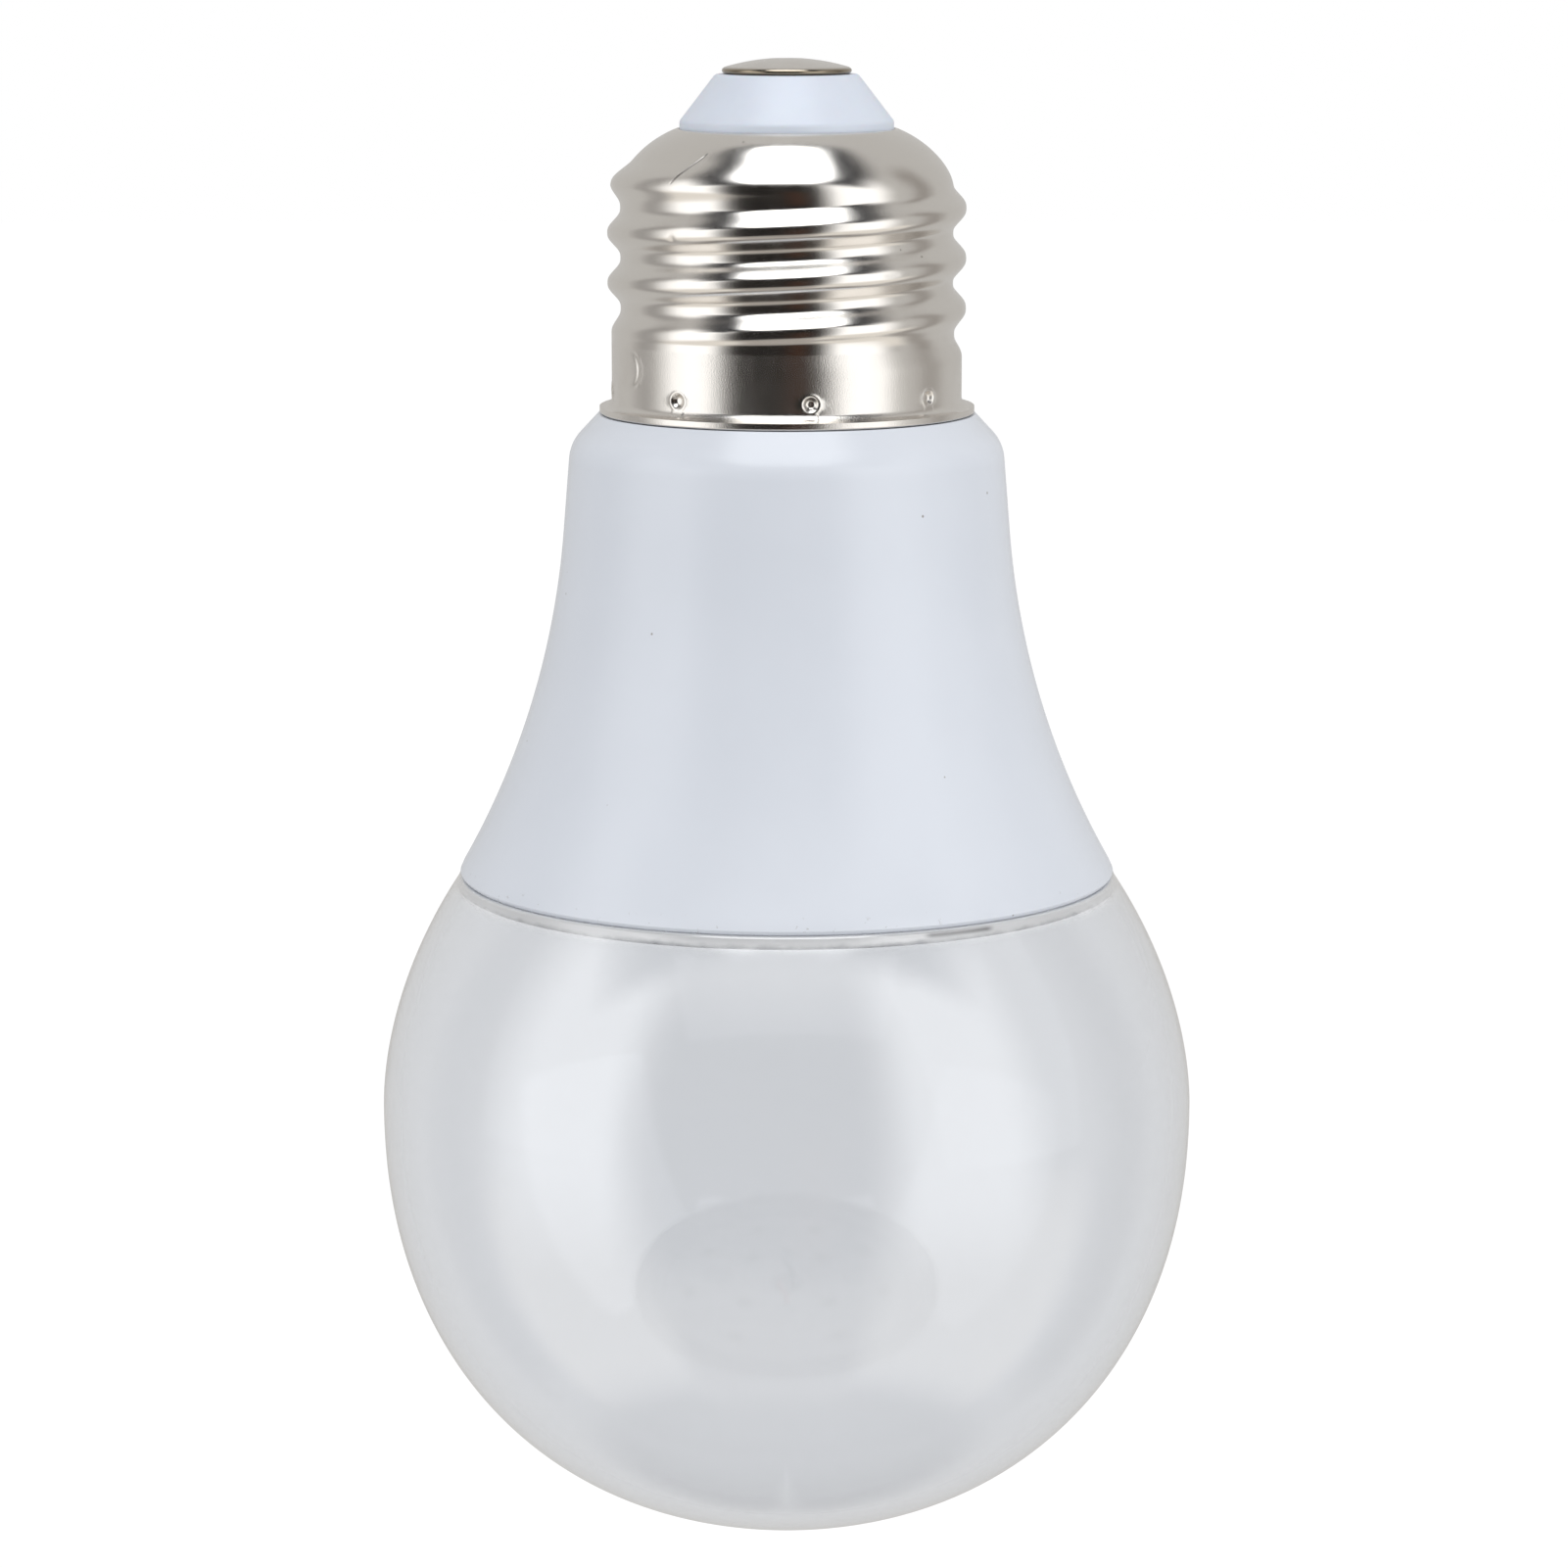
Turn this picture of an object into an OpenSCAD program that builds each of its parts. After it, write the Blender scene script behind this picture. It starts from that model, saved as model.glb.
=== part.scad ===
// LED black light bulb with a screw cap above and a clear globe below.
// The origin is the tip of the centre contact and +Z points out of the cap.
// Lengths are in millimetres, and heights below the tip are negative.

/* [Centre contact] */
// Diameter of the button
contact_d = 9.4; // [8.8:0.1:9.8]
// Height of the button from its seat to its tip
contact_h = 1.05; // [0.8:0.05:1.4]
// Thickness of the button's rim
contact_rim_t = 0.4; // [0.3:0.05:0.6]
// Diameter of the small flat at the tip
tip_flat_d = 2.4; // [1.6:0.1:3.2]
// Diameter of the pin below the button
pin_d = 2.2; // [1.6:0.1:2.6]
// Length of the pin below the button
pin_l = 6.2; // [5.6:0.1:7]

/* [Insulator] */
// Diameter of the insulator at its top
insulator_top_d = 10.1; // [10:0.1:11.4]
// Radius of the rounded edge at its top
insulator_round = 0.5; // [0.2:0.1:0.8]
// Height of the insulator above the shell
insulator_h = 3.9; // [3:0.1:5]
// Height of the straight lip at the foot of its cone
insulator_lip_h = 0.55; // [0.3:0.05:1]
// Diameter of the flange inside the shell
flange_d = 18.6; // [17.6:0.1:19.4]
// Thickness of the flange at its rim
flange_t = 1.2; // [0.8:0.1:1.6]
// Diameter of the pocket where the live lead meets the pin
pocket_d = 4.8; // [4.6:0.1:6]

/* [Screw shell] */
// Diameter over the thread crests
thread_d = 26.1; // [26.05:0.05:26.45]
// Depth of the thread from crest to root
thread_depth = 0.95; // [0.7:0.05:1.1]
// Pitch of the right-hand thread
thread_pitch = 3.629; // [3.5:0.001:3.8]
// Thickness of the sheet
shell_t = 0.3; // [0.2:0.05:0.35]
// Height from the rim to the opening at the top
shell_h = 20.65; // [20:0.05:22.5]
// Diameter of the opening at the top
opening_d = 15.66; // [15:0.1:16.4]
// Height of the domed top
dome_h = 4.2; // [3.8:0.1:4.6]
// Width of the dome's rounded edge
dome_round = 5.6; // [5:0.1:6]
// Length over which each end of the thread fades out
runout = 1.8; // [1.2:0.1:2.4]
// Diameter of the plain skirt below the thread
skirt_d = 25.55; // [25.3:0.05:25.8]
// Height of the skirt with its rim
skirt_h = 4.6; // [4:0.1:5.4]
// Diameter of the rim
rim_d = 27.5; // [26.8:0.1:28]
// Height of the flare from the skirt to the rim
flare_h = 0.65; // [0.5:0.05:0.9]
// Height of the straight lip of the rim
rim_lip_h = 0.5; // [0.3:0.05:0.8]
// Number of crimp marks round the skirt
crimps = 8; // [6:1:8]
// Diameter of a crimp mark
crimp_d = 1.1; // [0.9:0.05:1.3]
// Depth of a crimp mark
crimp_depth = 0.18; // [0.1:0.02:0.2]

/* [Housing] */
// Height from the globe's seam to the shell's rim
housing_h = 34.2; // [32:0.1:37]
// Thickness of the wall, measured level
housing_t = 1.3; // [1:0.1:1.5]
// Diameter at the lower edge of the shoulder
shoulder_d = 31.7; // [30.6:0.1:32.6]
// Height of the sloping shoulder
shoulder_h = 2.2; // [1.6:0.1:2.8]
// Size of the rounded corner below the shoulder
shoulder_round = 1.1; // [0.6:0.1:1.4]
// Angle of the tapered side below the shoulder
taper_angle = 4.65; // [3.5:0.05:5.5]
// Height of the tapered side
taper_h = 6.4; // [4:0.1:9]
// Diameter at the mouth, where the flare below the taper ends
mouth_d = 48.4; // [46:0.1:51]
// Radius of the rounded edge at the mouth
mouth_round = 0.45; // [0.3:0.05:0.6]
// Thickness of the neck inside the shell
neck_t = 1.4; // [1.2:0.1:1.6]
// Distance from the shell's opening to the end of the neck
neck_drop = 4.8; // [4.6:0.1:5.6]
// Height of the thick collar that the shell is crimped to
collar_h = 3.9; // [3.4:0.1:4.2]

/* [Globe] */
// Largest diameter of the globe
globe_d = 60.2; // [57:0.1:63]
// Height of the globe below the seam
globe_h = 49.1; // [46:0.1:52]
// Distance from the seam to the widest place
equator_drop = 17.2; // [15:0.1:19]
// Fullness of the globe above its widest place
upper_fullness = 1.8; // [1.7:0.05:2]
// Fullness of the globe below its widest place
lower_fullness = 2.2; // [2:0.05:2.5]
// Thickness of the wall
globe_t = 1.2; // [0.8:0.1:1.6]
// Height of the neck that plugs into the housing
globe_neck_h = 2.6; // [2:0.1:2.7]
// Gap between the top of that neck and the housing
neck_gap = 0.4; // [0.3:0.05:0.6]
// Radius of the rounded edge at the seam
globe_round = 0.3; // [0.2:0.05:0.5]

/* [Heat sink] */
// Thickness of the drawn aluminium
sink_t = 0.9; // [0.7:0.1:1.2]
// Distance from the seam up to the seat of the board
sink_seat_h = 3.7; // [3.5:0.1:4.4]
// Height of the cup
sink_h = 26; // [22:0.5:27]
// Diameter of the hole for the leads
lead_hole_d = 5.4; // [4.6:0.1:6]

/* [LED board] */
// Gap between the edge of the board and the globe's neck
board_gap = 0.3; // [0.2:0.05:0.6]
// Thickness of the board
board_t = 1.2; // [1:0.1:1.6]
// Thickness of the thermal pad below the board
pad_t = 0.15; // [0.1:0.05:0.3]
// Number of LEDs in the outer ring
outer_leds = 8; // [6:1:10]
// Diameter of the outer ring of LEDs
outer_ring_d = 30.4; // [29:0.1:33]
// Diameter of the inner ring of LEDs
inner_ring_d = 16; // [15:0.1:17]
// Side of an LED
led_w = 3; // [2.6:0.1:3.4]
// Height of an LED
led_h = 0.7; // [0.5:0.1:1]
// Diameter of an LED's window
led_window_d = 2.4; // [2:0.1:2.5]
// Distance between the two board screws
screw_spacing = 22; // [21:0.1:23]
// Thread diameter of a board screw
screw_d = 2.5; // [2:0.1:3]
// Length of a board screw below its head
screw_l = 4; // [3:0.1:5]
// Distance of a solder joint from the axis
solder_drop = 6.6; // [6:0.1:7.4]
// Diameter of a solder joint
solder_d = 2.8; // [2.4:0.1:3.2]

/* [Driver] */
// Width of the board in the neck
driver_neck_w = 17.4; // [16.6:0.1:17.8]
// Width of the board in the bell
driver_bell_w = 24; // [22:0.1:25]
// Height of the board
driver_h = 37; // [36:0.1:39]
// Height of its narrow part
driver_neck_h = 21; // [20:0.1:23]
// Thickness of the board
driver_t = 1.2; // [1:0.1:1.6]
// Distance of the board from the axis
driver_offset = 2; // [1.6:0.1:2.4]
// Thickness of a guide rib
rib_t = 1; // [0.8:0.1:1.2]
// Height of the guide ribs
rib_h = 13; // [10:0.5:14]

/* [Driver parts] */
// Diameter of the input capacitor
input_cap_d = 8; // [7:0.1:8.4]
// Length of the input capacitor
input_cap_l = 13; // [11:0.5:14]
// Diameter of the filter inductor
choke_d = 6; // [5:0.1:6.4]
// Height of the filter inductor
choke_h = 7.6; // [6:0.1:8.4]
// Width of the power inductor
coil_w = 10; // [9:0.1:10.6]
// Depth of the power inductor
coil_depth = 8.4; // [7.6:0.1:9]
// Height of the power inductor
coil_h = 9.4; // [8.4:0.1:10]
// Diameter of the output capacitor
output_cap_d = 6; // [5:0.1:6.3]
// Height of the output capacitor
output_cap_h = 8; // [7:0.1:9]
// Diameter of the fuse resistor
fuse_d = 3; // [2.4:0.1:3.4]
// Length of the fuse resistor
fuse_l = 9; // [8:0.1:9.6]
// Length of the bridge rectifier and the chip
chip_l = 4.8; // [4.4:0.1:5.2]
// Width of the bridge rectifier and the chip
chip_w = 3.8; // [3.4:0.1:4.2]
// Height of the bridge rectifier and the chip
chip_h = 1.6; // [1.2:0.1:1.8]
// Length of the output diode
diode_l = 4.3; // [3.9:0.1:4.7]
// Diameter of a pin
pin_wire_d = 0.6; // [0.5:0.05:0.7]

/* [Leads] */
// Diameter of an insulated lead
lead_d = 0.9; // [0.7:0.05:1]

/* [Clearances] */
// Gap between pieces that are assembled by hand
fit_gap = 0.1; // [0.05:0.05:0.15]
// Gap between pieces that are seated on each other
seat_gap = 0.05; // [0.02:0.01:0.08]

/* [Hidden] */
$fn = 96;
columns_per_crimp = 7;   // columns of faces on the screw shell for each crimp mark
rows_per_turn = 10;      // rows of faces in one pitch on the outside
inner_rows_per_turn = 6; // rows of faces in one pitch on the inside
lead_sides = 8;
inner_leds = 4;          // one between each board screw and solder joint

// Levels of the joints between the pieces, from the tip down
insulator_z = -contact_h;
opening_z = insulator_z - insulator_h;
root_z = opening_z - dome_h;
rim_z = opening_z - shell_h;
skirt_z = rim_z + skirt_h;
seat_z = rim_z - seat_gap;
shoulder_z = seat_z - shoulder_h;
taper_z = shoulder_z - taper_h;
seam_z = rim_z - housing_h;
equator_z = seam_z - equator_drop;
neck_z = opening_z - neck_drop;
sink_z = seam_z + sink_seat_h;
board_z = sink_z - pad_t;
led_z = board_z - board_t;
driver_z = neck_z - 3;

// Radii of the shell
root_r = thread_d / 2 - thread_depth;
opening_r = opening_d / 2;
skirt_r = skirt_d / 2;
rim_r = rim_d / 2;
crown_r = root_r - dome_round;

// Radii of the housing's neck
neck_r = root_r - shell_t - fit_gap;
neck_bore_r = neck_r - neck_t;
collar_r = skirt_r - shell_t - fit_gap;

LEDS = [for (i = [1 : outer_leds + inner_leds]) str("led_", i)];

// Smooth step from 0 at a to 1 at b
function fade(a, b, x) =
    let (t = min(1, max(0, (x - a) / (b - a)))) t * t * (3 - 2 * t);

// Radius of an oval of radius r and half height b, at height h from its middle
function oval_r(r, b, n, h) = r * pow(max(0, 1 - pow(min(1, abs(h) / b), n)), 1 / n);

// Points of an elliptical arc about c, from angle a to angle b in n steps
function arc(c, rx, rz, a, b, n) =
    [for (i = [0 : n]) let (t = a + (b - a) * i / n) c + [rx * cos(t), rz * sin(t)]];

// Revolves an outline of [radius, height] points about the axis
module turned(points) {
    rotate_extrude() polygon(points);
}

// CENTRE CONTACT
module contact_pin() {
    rim_z1 = insulator_z + contact_rim_t;
    rise = -rim_z1;
    reach = contact_d / 2 - contact_rim_t / 2;
    dome_r = (pow(reach, 2) + pow(rise, 2)) / (2 * rise);
    flat_a = asin(tip_flat_d / 2 / dome_r);
    edge_a = asin(reach / dome_r);
    drop = dome_r * cos(flat_a);
    crown = [for (i = [0 : 8]) let (a = flat_a + (edge_a - flat_a) * i / 8)
        [dome_r * sin(a), dome_r * cos(a) - drop]];
    edge = arc([reach, insulator_z + contact_rim_t / 2], contact_rim_t / 2,
               contact_rim_t / 2, 60, -90, 5);
    color("silver") turned(concat(
        [[0, 0]], crown, edge,
        [[pin_d / 2, insulator_z], [pin_d / 2, insulator_z - pin_l + 0.4],
         [pin_d / 2 - 0.4, insulator_z - pin_l], [0, insulator_z - pin_l]]));
}

// INSULATOR
module cap_insulator() {
    lip_r = opening_r - seat_gap;
    top_r = insulator_top_d / 2;
    top_z = insulator_z - seat_gap;
    round_end = top_z - insulator_round;
    flange_top = [for (i = [0 : 5])
        let (r = lip_r + (flange_d / 2 - lip_r) * i / 5) [r, dome_in_z(r) - seat_gap]];
    flange_z = dome_in_z(flange_d / 2) - seat_gap - flange_t;
    color("ghostwhite") turned(concat(
        [[pin_d / 2 + seat_gap, top_z]],
        arc([top_r - insulator_round, round_end], insulator_round, insulator_round, 90, 30, 4),
        [[lip_r, opening_z + insulator_lip_h]],
        flange_top,
        [[flange_d / 2, flange_z], [pocket_d / 2, flange_z],
         [pocket_d / 2, opening_z - 0.6], [pin_d / 2 + seat_gap, opening_z - 0.6]]));
}

// SCREW SHELL
// Height of the dome's inner face at radius r
function dome_in_z(r) =
    root_z + (dome_half - shell_t) * sqrt(1 - pow((r - crown_r) / (dome_round - shell_t), 2));
dome_half = dome_h / cos(asin((opening_r - crown_r) / dome_round));

// Height of the thread above its root at height z and angle a. A crest passes
// +X at crest_z and rises by one pitch in each turn to the left.
crest_drop = 5.76;
crest_z = opening_z - crest_drop;
function thread(z, a) = thread_depth * fade(root_z + runout * 0.8, root_z - runout * 0.2, z)
    * (0.5 + 0.5 * cos(360 * (z - crest_z) / thread_pitch - a));

// Radius of the shell's outside at height z and angle a, below the dome
function wall_r(z, a) =
    let (k = fade(skirt_z + runout * 0.6, skirt_z - runout * 0.2, z))
    (root_r + thread(z, a)) * (1 - k) + skirt_r * k;

// Levels of the plain skirt, from the end of the thread to the flare of the rim
plain_z = skirt_z - runout * 0.2;
flare_z = rim_z + rim_lip_h + flare_h;

// The crimp marks stand just above the flare, and the first one at crimp_turn
crimp_z = flare_z + crimp_d / 2;
crimp_turn = -82.4;
sector = 360 / crimps;
function crimp(z, a) =
    let (turn = (a - crimp_turn) - sector * round((a - crimp_turn) / sector),
         off = norm([z - crimp_z, skirt_r * turn * PI / 180]) / (crimp_d / 2))
    crimp_depth * fade(1, 0.4, off);

// Places of the columns within one sector. Fine ones close in on a crimp mark.
mark_steps = [0, 0.25, 0.5, 0.8, 1];
mark_span = crimp_d / skirt_r * 90 / PI;
even_columns = [for (c = [0 : columns_per_crimp - 1]) sector * c / columns_per_crimp];
fine_columns = concat(
    mark_span * mark_steps, [for (c = [1 : columns_per_crimp - 1]) even_columns[c]],
    [for (k = [len(mark_steps) - 1 : -1 : 1]) sector - mark_span * mark_steps[k]]);

// One ring of points at height z. Its radius at angle a is radius(a).
function ring(z, radius, fine = false) =
    [fine, [for (i = [0 : crimps - 1], turn = fine ? fine_columns : even_columns)
        let (a = crimp_turn + sector * i + turn) [radius(a) * cos(a), radius(a) * sin(a), z]]];

// Rings of one face of the sheet, sunk by s, from the opening to the rim
function face(s, turn_rows, marked) =
    let (dome_a = asin((opening_r - crown_r) / (dome_round - s)),
         rows = ceil((root_z - plain_z) * turn_rows / thread_pitch))
    concat(
        [for (i = [0 : turn_rows - 1]) let (
            t = dome_a + (90 - dome_a) * i / turn_rows,
            z = root_z + (dome_half - s) * cos(t),
            r = crown_r + (dome_round - s) * sin(t))
            ring(z, function(a) r + thread(z, a))],
        [for (i = [0 : rows]) let (z = root_z + (plain_z - root_z) * i / rows)
            ring(z, function(a) wall_r(z, a) - s)],
        marked
            ? [for (k = [-4 : 4]) let (z = crimp_z - sign(k) * crimp_d / 2 * mark_steps[abs(k)])
                ring(z, function(a) skirt_r - crimp(z, a), true)]
            : [ring(flare_z, function(a) skirt_r - s)],
        [for (t = [30, 60, 90])
            ring(flare_z - (flare_h + s) * sin(t),
                 function(a) rim_r - s - (rim_r - skirt_r) * cos(t))],
        [ring(rim_z, function(a) rim_r - s)]);

// Triangles between two rings whose points start at p and q. Where only one of
// them is fine, its extra points fan out to the other.
function strip(p, q, fine_p, fine_q) =
    let (extra = len(mark_steps) - 1,
         size_p = crimps * len(fine_p ? fine_columns : even_columns),
         size_q = crimps * len(fine_q ? fine_columns : even_columns))
    [for (i = [0 : crimps - 1], c = [0 : columns_per_crimp - 1]) let (
        beside = c == 0 || c == columns_per_crimp - 1,
        first_p = (size_p * i) / crimps + c + (fine_p && c > 0 ? extra : 0),
        first_q = (size_q * i) / crimps + c + (fine_q && c > 0 ? extra : 0),
        steps_p = fine_p && beside ? 1 + extra : 1,
        steps_q = fine_q && beside ? 1 + extra : 1,
        upper = [for (k = [0 : steps_p]) p + (first_p + k) % size_p],
        lower = [for (k = [0 : steps_q]) q + (first_q + k) % size_q])
        each concat(
            [for (k = [0 : steps_p - 1]) [upper[k], upper[k + 1], lower[min(k + 1, steps_q)]]],
            [for (k = [0 : steps_q - 1]) [upper[min(k, steps_p)], lower[k + 1], lower[k]]])];

module screw_shell() {
    outside = face(0, rows_per_turn, true);
    inside = face(shell_t, inner_rows_per_turn, false);
    rings = concat(outside, [for (i = [len(inside) - 1 : -1 : 0]) inside[i]]);
    n = len(rings);
    starts = [for (i = 0, start = 0; i < n; start = start + len(rings[i][1]), i = i + 1) start];
    faces = [for (i = [0 : n - 1]) let (next = (i + 1) % n)
        each strip(starts[i], starts[next], rings[i][0], rings[next][0])];
    color("lightgray") polyhedron([for (r = rings) each r[1]], faces);
}

// HOUSING
// The side tapers down from the shoulder, and then flares out to the mouth along
// an arc that starts at taper_end in the direction of the taper
bell_end = seam_z + mouth_round;
taper_end = [shoulder_d / 2 + taper_h * tan(taper_angle), taper_z];
flare_run = [mouth_d / 2, bell_end] - taper_end;
out = [cos(taper_angle), sin(taper_angle)];
flare_r = flare_run * flare_run / (2 * flare_run * out);
flare_centre = taper_end + flare_r * out;

// Radius of the housing's outside at height z, below the shoulder
function bell_r(z) =
    z > taper_z
        ? shoulder_d / 2 + (shoulder_z - z) * tan(taper_angle)
        : flare_centre[0] - sqrt(pow(flare_r, 2) - pow(z - flare_centre[1], 2));

// Radius of the housing's inside at height z
function bore_r(z) = bell_r(z) - housing_t;

module guide_ribs() {
    gap = driver_t + 2 * fit_gap;
    reach = neck_bore_r + neck_t / 2;
    tip = driver_neck_w / 2 - 1;
    intersection() {
        translate([0, 0, neck_z - 1.5 - rib_h]) cylinder(r = reach, h = rib_h);
        for (side = [-1, 1], row = [-1, 1])
            translate([side * (tip + reach) / 2, row * (gap + rib_t) / 2 - driver_offset,
                       neck_z - 1.5 - rib_h / 2])
                cube([reach - tip, rib_t, rib_h], center = true);
    }
}

module housing() {
    seat_r = rim_r + seat_gap;
    corner = [shoulder_d / 2, shoulder_z];
    slope_end = corner + shoulder_round * [-(corner[0] - seat_r), shoulder_h]
        / norm([corner[0] - seat_r, shoulder_h]);
    side_end = [bell_r(shoulder_z - shoulder_round), shoulder_z - shoulder_round];
    rounded = [for (i = [0 : 5]) let (t = i / 5)
        pow(1 - t, 2) * slope_end + 2 * t * (1 - t) * corner + t * t * side_end];
    bell_top = side_end[1] - 0.8;
    outside = [for (i = [0 : 32]) let (z = bell_top + (bell_end - bell_top) * i / 32)
        [bell_r(z), z]];
    mouth = arc([mouth_d / 2 - mouth_round, bell_end], mouth_round, mouth_round, -15, -90, 5);
    inner_top = shoulder_z - 1;
    inside = [for (i = [0 : 20]) let (z = seam_z + (inner_top - seam_z) * i / 20)
        [bore_r(z), z]];
    color("white") difference() {
        union() {
            turned(concat(
                [[neck_bore_r, neck_z], [neck_r, neck_z], [neck_r, seat_z + collar_h],
                 [collar_r, seat_z + collar_h - 0.7], [collar_r, seat_z], [seat_r, seat_z]],
                rounded, outside, mouth, inside,
                [[seat_r - housing_t, seat_z - housing_t],
                 [neck_bore_r, seat_z - housing_t]]));
            guide_ribs();
        }
        lead_groove();
    }
}

// Groove outside the neck for the bared end of the neutral lead
groove_l = 4.6;
module lead_groove() {
    depth = lead_d + fit_gap;
    translate([neck_r - depth, -depth / 2 - fit_gap, neck_z - groove_l])
        cube([depth + 1, depth + 2 * fit_gap, groove_l + 1]);
}

// Radii of the globe's neck and of the board inside it
globe_neck_r = bore_r(seam_z + globe_neck_h) - neck_gap;
board_r = globe_neck_r - globe_t - board_gap;

// HEAT SINK
// Places its children at the two board screws
module at_screws() {
    for (side = [-1, 1]) translate([side * screw_spacing / 2, 0, 0]) children();
}

module heat_sink() {
    top_z = sink_z + sink_h;
    outside = [for (i = [0 : 18]) let (z = top_z - sink_h * i / 18)
        [bore_r(z) - fit_gap, z]];
    inside = [for (i = [0 : 18]) let (z = sink_z + sink_t + (sink_h - sink_t) * i / 18)
        [bore_r(z) - fit_gap - sink_t, z]];
    color("gainsboro") difference() {
        turned(concat(outside, [[0, sink_z], [0, sink_z + sink_t]], inside));
        translate([0, 0, sink_z - 1]) cylinder(d = lead_hole_d, h = sink_t + 2);
        at_screws() translate([0, 0, sink_z - 1])
            cylinder(d = screw_d + seat_gap, h = sink_t + 2);
    }
}

module thermal_pad() {
    color("lightsteelblue") difference() {
        translate([0, 0, board_z]) cylinder(r = board_r - 0.5, h = pad_t);
        translate([0, 0, board_z - 1]) cylinder(d = lead_hole_d + 1, h = pad_t + 2);
        at_screws() translate([0, 0, board_z - 1]) cylinder(d = screw_d + 1, h = pad_t + 2);
    }
}

// LED BOARD
module led_board() {
    color("whitesmoke") difference() {
        translate([0, 0, led_z]) cylinder(r = board_r, h = board_t);
        translate([0, 0, led_z - 1]) cylinder(d = lead_hole_d, h = board_t + 2);
        at_screws() translate([0, 0, led_z - 1])
            cylinder(d = screw_d + 2 * fit_gap, h = board_t + 2);
    }
}

// One LED, numbered from 1. The outer ring comes first.
module led(i) {
    outer = i <= outer_leds;
    angle = outer ? 360 * (i - 0.5) / outer_leds : 360 * (i - outer_leds - 0.5) / inner_leds;
    ring_r = (outer ? outer_ring_d : inner_ring_d) / 2;
    color("lemonchiffon") rotate([0, 0, angle]) translate([ring_r, 0, led_z - led_h])
        difference() {
            linear_extrude(led_h) polygon([
                [-led_w / 2, -led_w / 2], [led_w / 2 - 0.5, -led_w / 2],
                [led_w / 2, -led_w / 2 + 0.5], [led_w / 2, led_w / 2], [-led_w / 2, led_w / 2]]);
            translate([0, 0, -0.01])
                cylinder(d1 = led_window_d, d2 = led_window_d - 0.3, h = 0.16, $fn = 32);
        }
}

// Height of an LED lead's axis where it lies on the board
lead_lie_z = led_z - lead_d / 2 - seat_gap;

module solder_joints() {
    color("silver") for (side = [-1, 1]) difference() {
        translate([0, side * solder_drop, led_z - 0.35]) intersection() {
            sphere(d = solder_d, $fn = 48);
            translate([0, 0, 0.35 - solder_d]) cube(2 * solder_d, center = true);
            translate([0, 0, 0.35 - solder_d / 2]) cube(solder_d, center = true);
        }
        translate([0, side * (solder_drop - solder_d), lead_lie_z]) rotate([-side * 90, 0, 0])
            cylinder(d = lead_d + 2 * seat_gap, h = solder_d + lead_run + seat_gap, $fn = 32);
    }
}

module board_screws() {
    head_d = screw_d * 1.9;
    head_h = screw_d * 0.55;
    head_z = led_z - seat_gap;
    color("silver") at_screws() difference() {
        union() {
            translate([0, 0, head_z]) cylinder(d = screw_d, h = screw_l);
            translate([0, 0, head_z - head_h])
                cylinder(d1 = head_d - 0.8, d2 = head_d, h = head_h);
        }
        for (turn = [0, 90]) rotate([0, 0, turn]) translate([0, 0, head_z - head_h])
            cube([head_d * 0.6, screw_d * 0.2, head_h], center = true);
    }
}

// DRIVER
driver_face_y = -driver_offset + driver_t / 2;
driver_back_y = -driver_offset - driver_t / 2;

// Places its children on the driver board's front, x across and d below its top
module on_front(x, d) {
    translate([x, driver_face_y + seat_gap, driver_z - d]) rotate([-90, 0, 0]) children();
}

// The same on its back
module on_back(x, d) {
    translate([x, driver_back_y - seat_gap, driver_z - d]) rotate([90, 0, 0]) children();
}

// Places of the parts with pins: across, below the board's top, and pin spacing
choke_at = [-6.4, 25.5, choke_d / 2];
coil_at = [5, 27, coil_w * 0.7];
output_at = [-6.2, 33, output_cap_d * 0.43];
input_at = [0, 2.8, input_cap_d * 0.45];

module pin_holes(at) {
    for (side = [-1, 1]) translate([at[0] + side * at[2] / 2, 0, driver_z - at[1]])
        rotate([90, 0, 0]) cylinder(d = pin_wire_d + 0.3, h = 20, center = true, $fn = 24);
}

// Two pins down through the board, in the frame of on_front
module pins(spacing) {
    for (side = [-1, 1]) translate([side * spacing / 2, 0, -driver_t - 1])
        cylinder(d = pin_wire_d, h = driver_t + 1.2, $fn = 24);
}

module driver_board() {
    narrow = driver_neck_w / 2;
    wide = driver_bell_w / 2;
    color("seagreen") difference() {
        translate([0, driver_face_y, driver_z]) rotate([90, 0, 0])
            linear_extrude(driver_t) polygon([
                [-narrow, 0], [narrow, 0], [narrow, -driver_neck_h],
                [wide, -driver_neck_h - 2], [wide, -driver_h], [-wide, -driver_h],
                [-wide, -driver_neck_h - 2], [-narrow, -driver_neck_h]]);
        for (at = [choke_at, coil_at, output_at, input_at]) pin_holes(at);
    }
}

// A moulded chip with a row of legs along each side
module chip(l, w, h, legs) {
    translate([-l / 2, -w / 2, 0.1]) cube([l, w, h]);
    for (side = [-1, 1], k = [0 : legs - 1])
        translate([(k - (legs - 1) / 2) * l / legs - 0.2, side > 0 ? w / 2 - 0.1 : -w / 2 - 0.9, 0])
            cube([0.4, 1, 0.4]);
}

module fuse_resistor() {
    bend_y = fuse_l / 2 + 1.9;
    color("lightblue") on_back(-4.4, 9.5) {
        translate([0, fuse_l / 2, fuse_d / 2]) rotate([90, 0, 0])
            cylinder(d = fuse_d, h = fuse_l, $fn = 48);
        for (side = [-1, 1]) {
            translate([0, side * (fuse_l / 2 + 0.9), fuse_d / 2]) rotate([90, 0, 0])
                cylinder(d = pin_wire_d, h = 2.2, center = true, $fn = 24);
            translate([0, side * bend_y, 0])
                cylinder(d = pin_wire_d, h = fuse_d / 2 + pin_wire_d / 2, $fn = 24);
        }
    }
}

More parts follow.
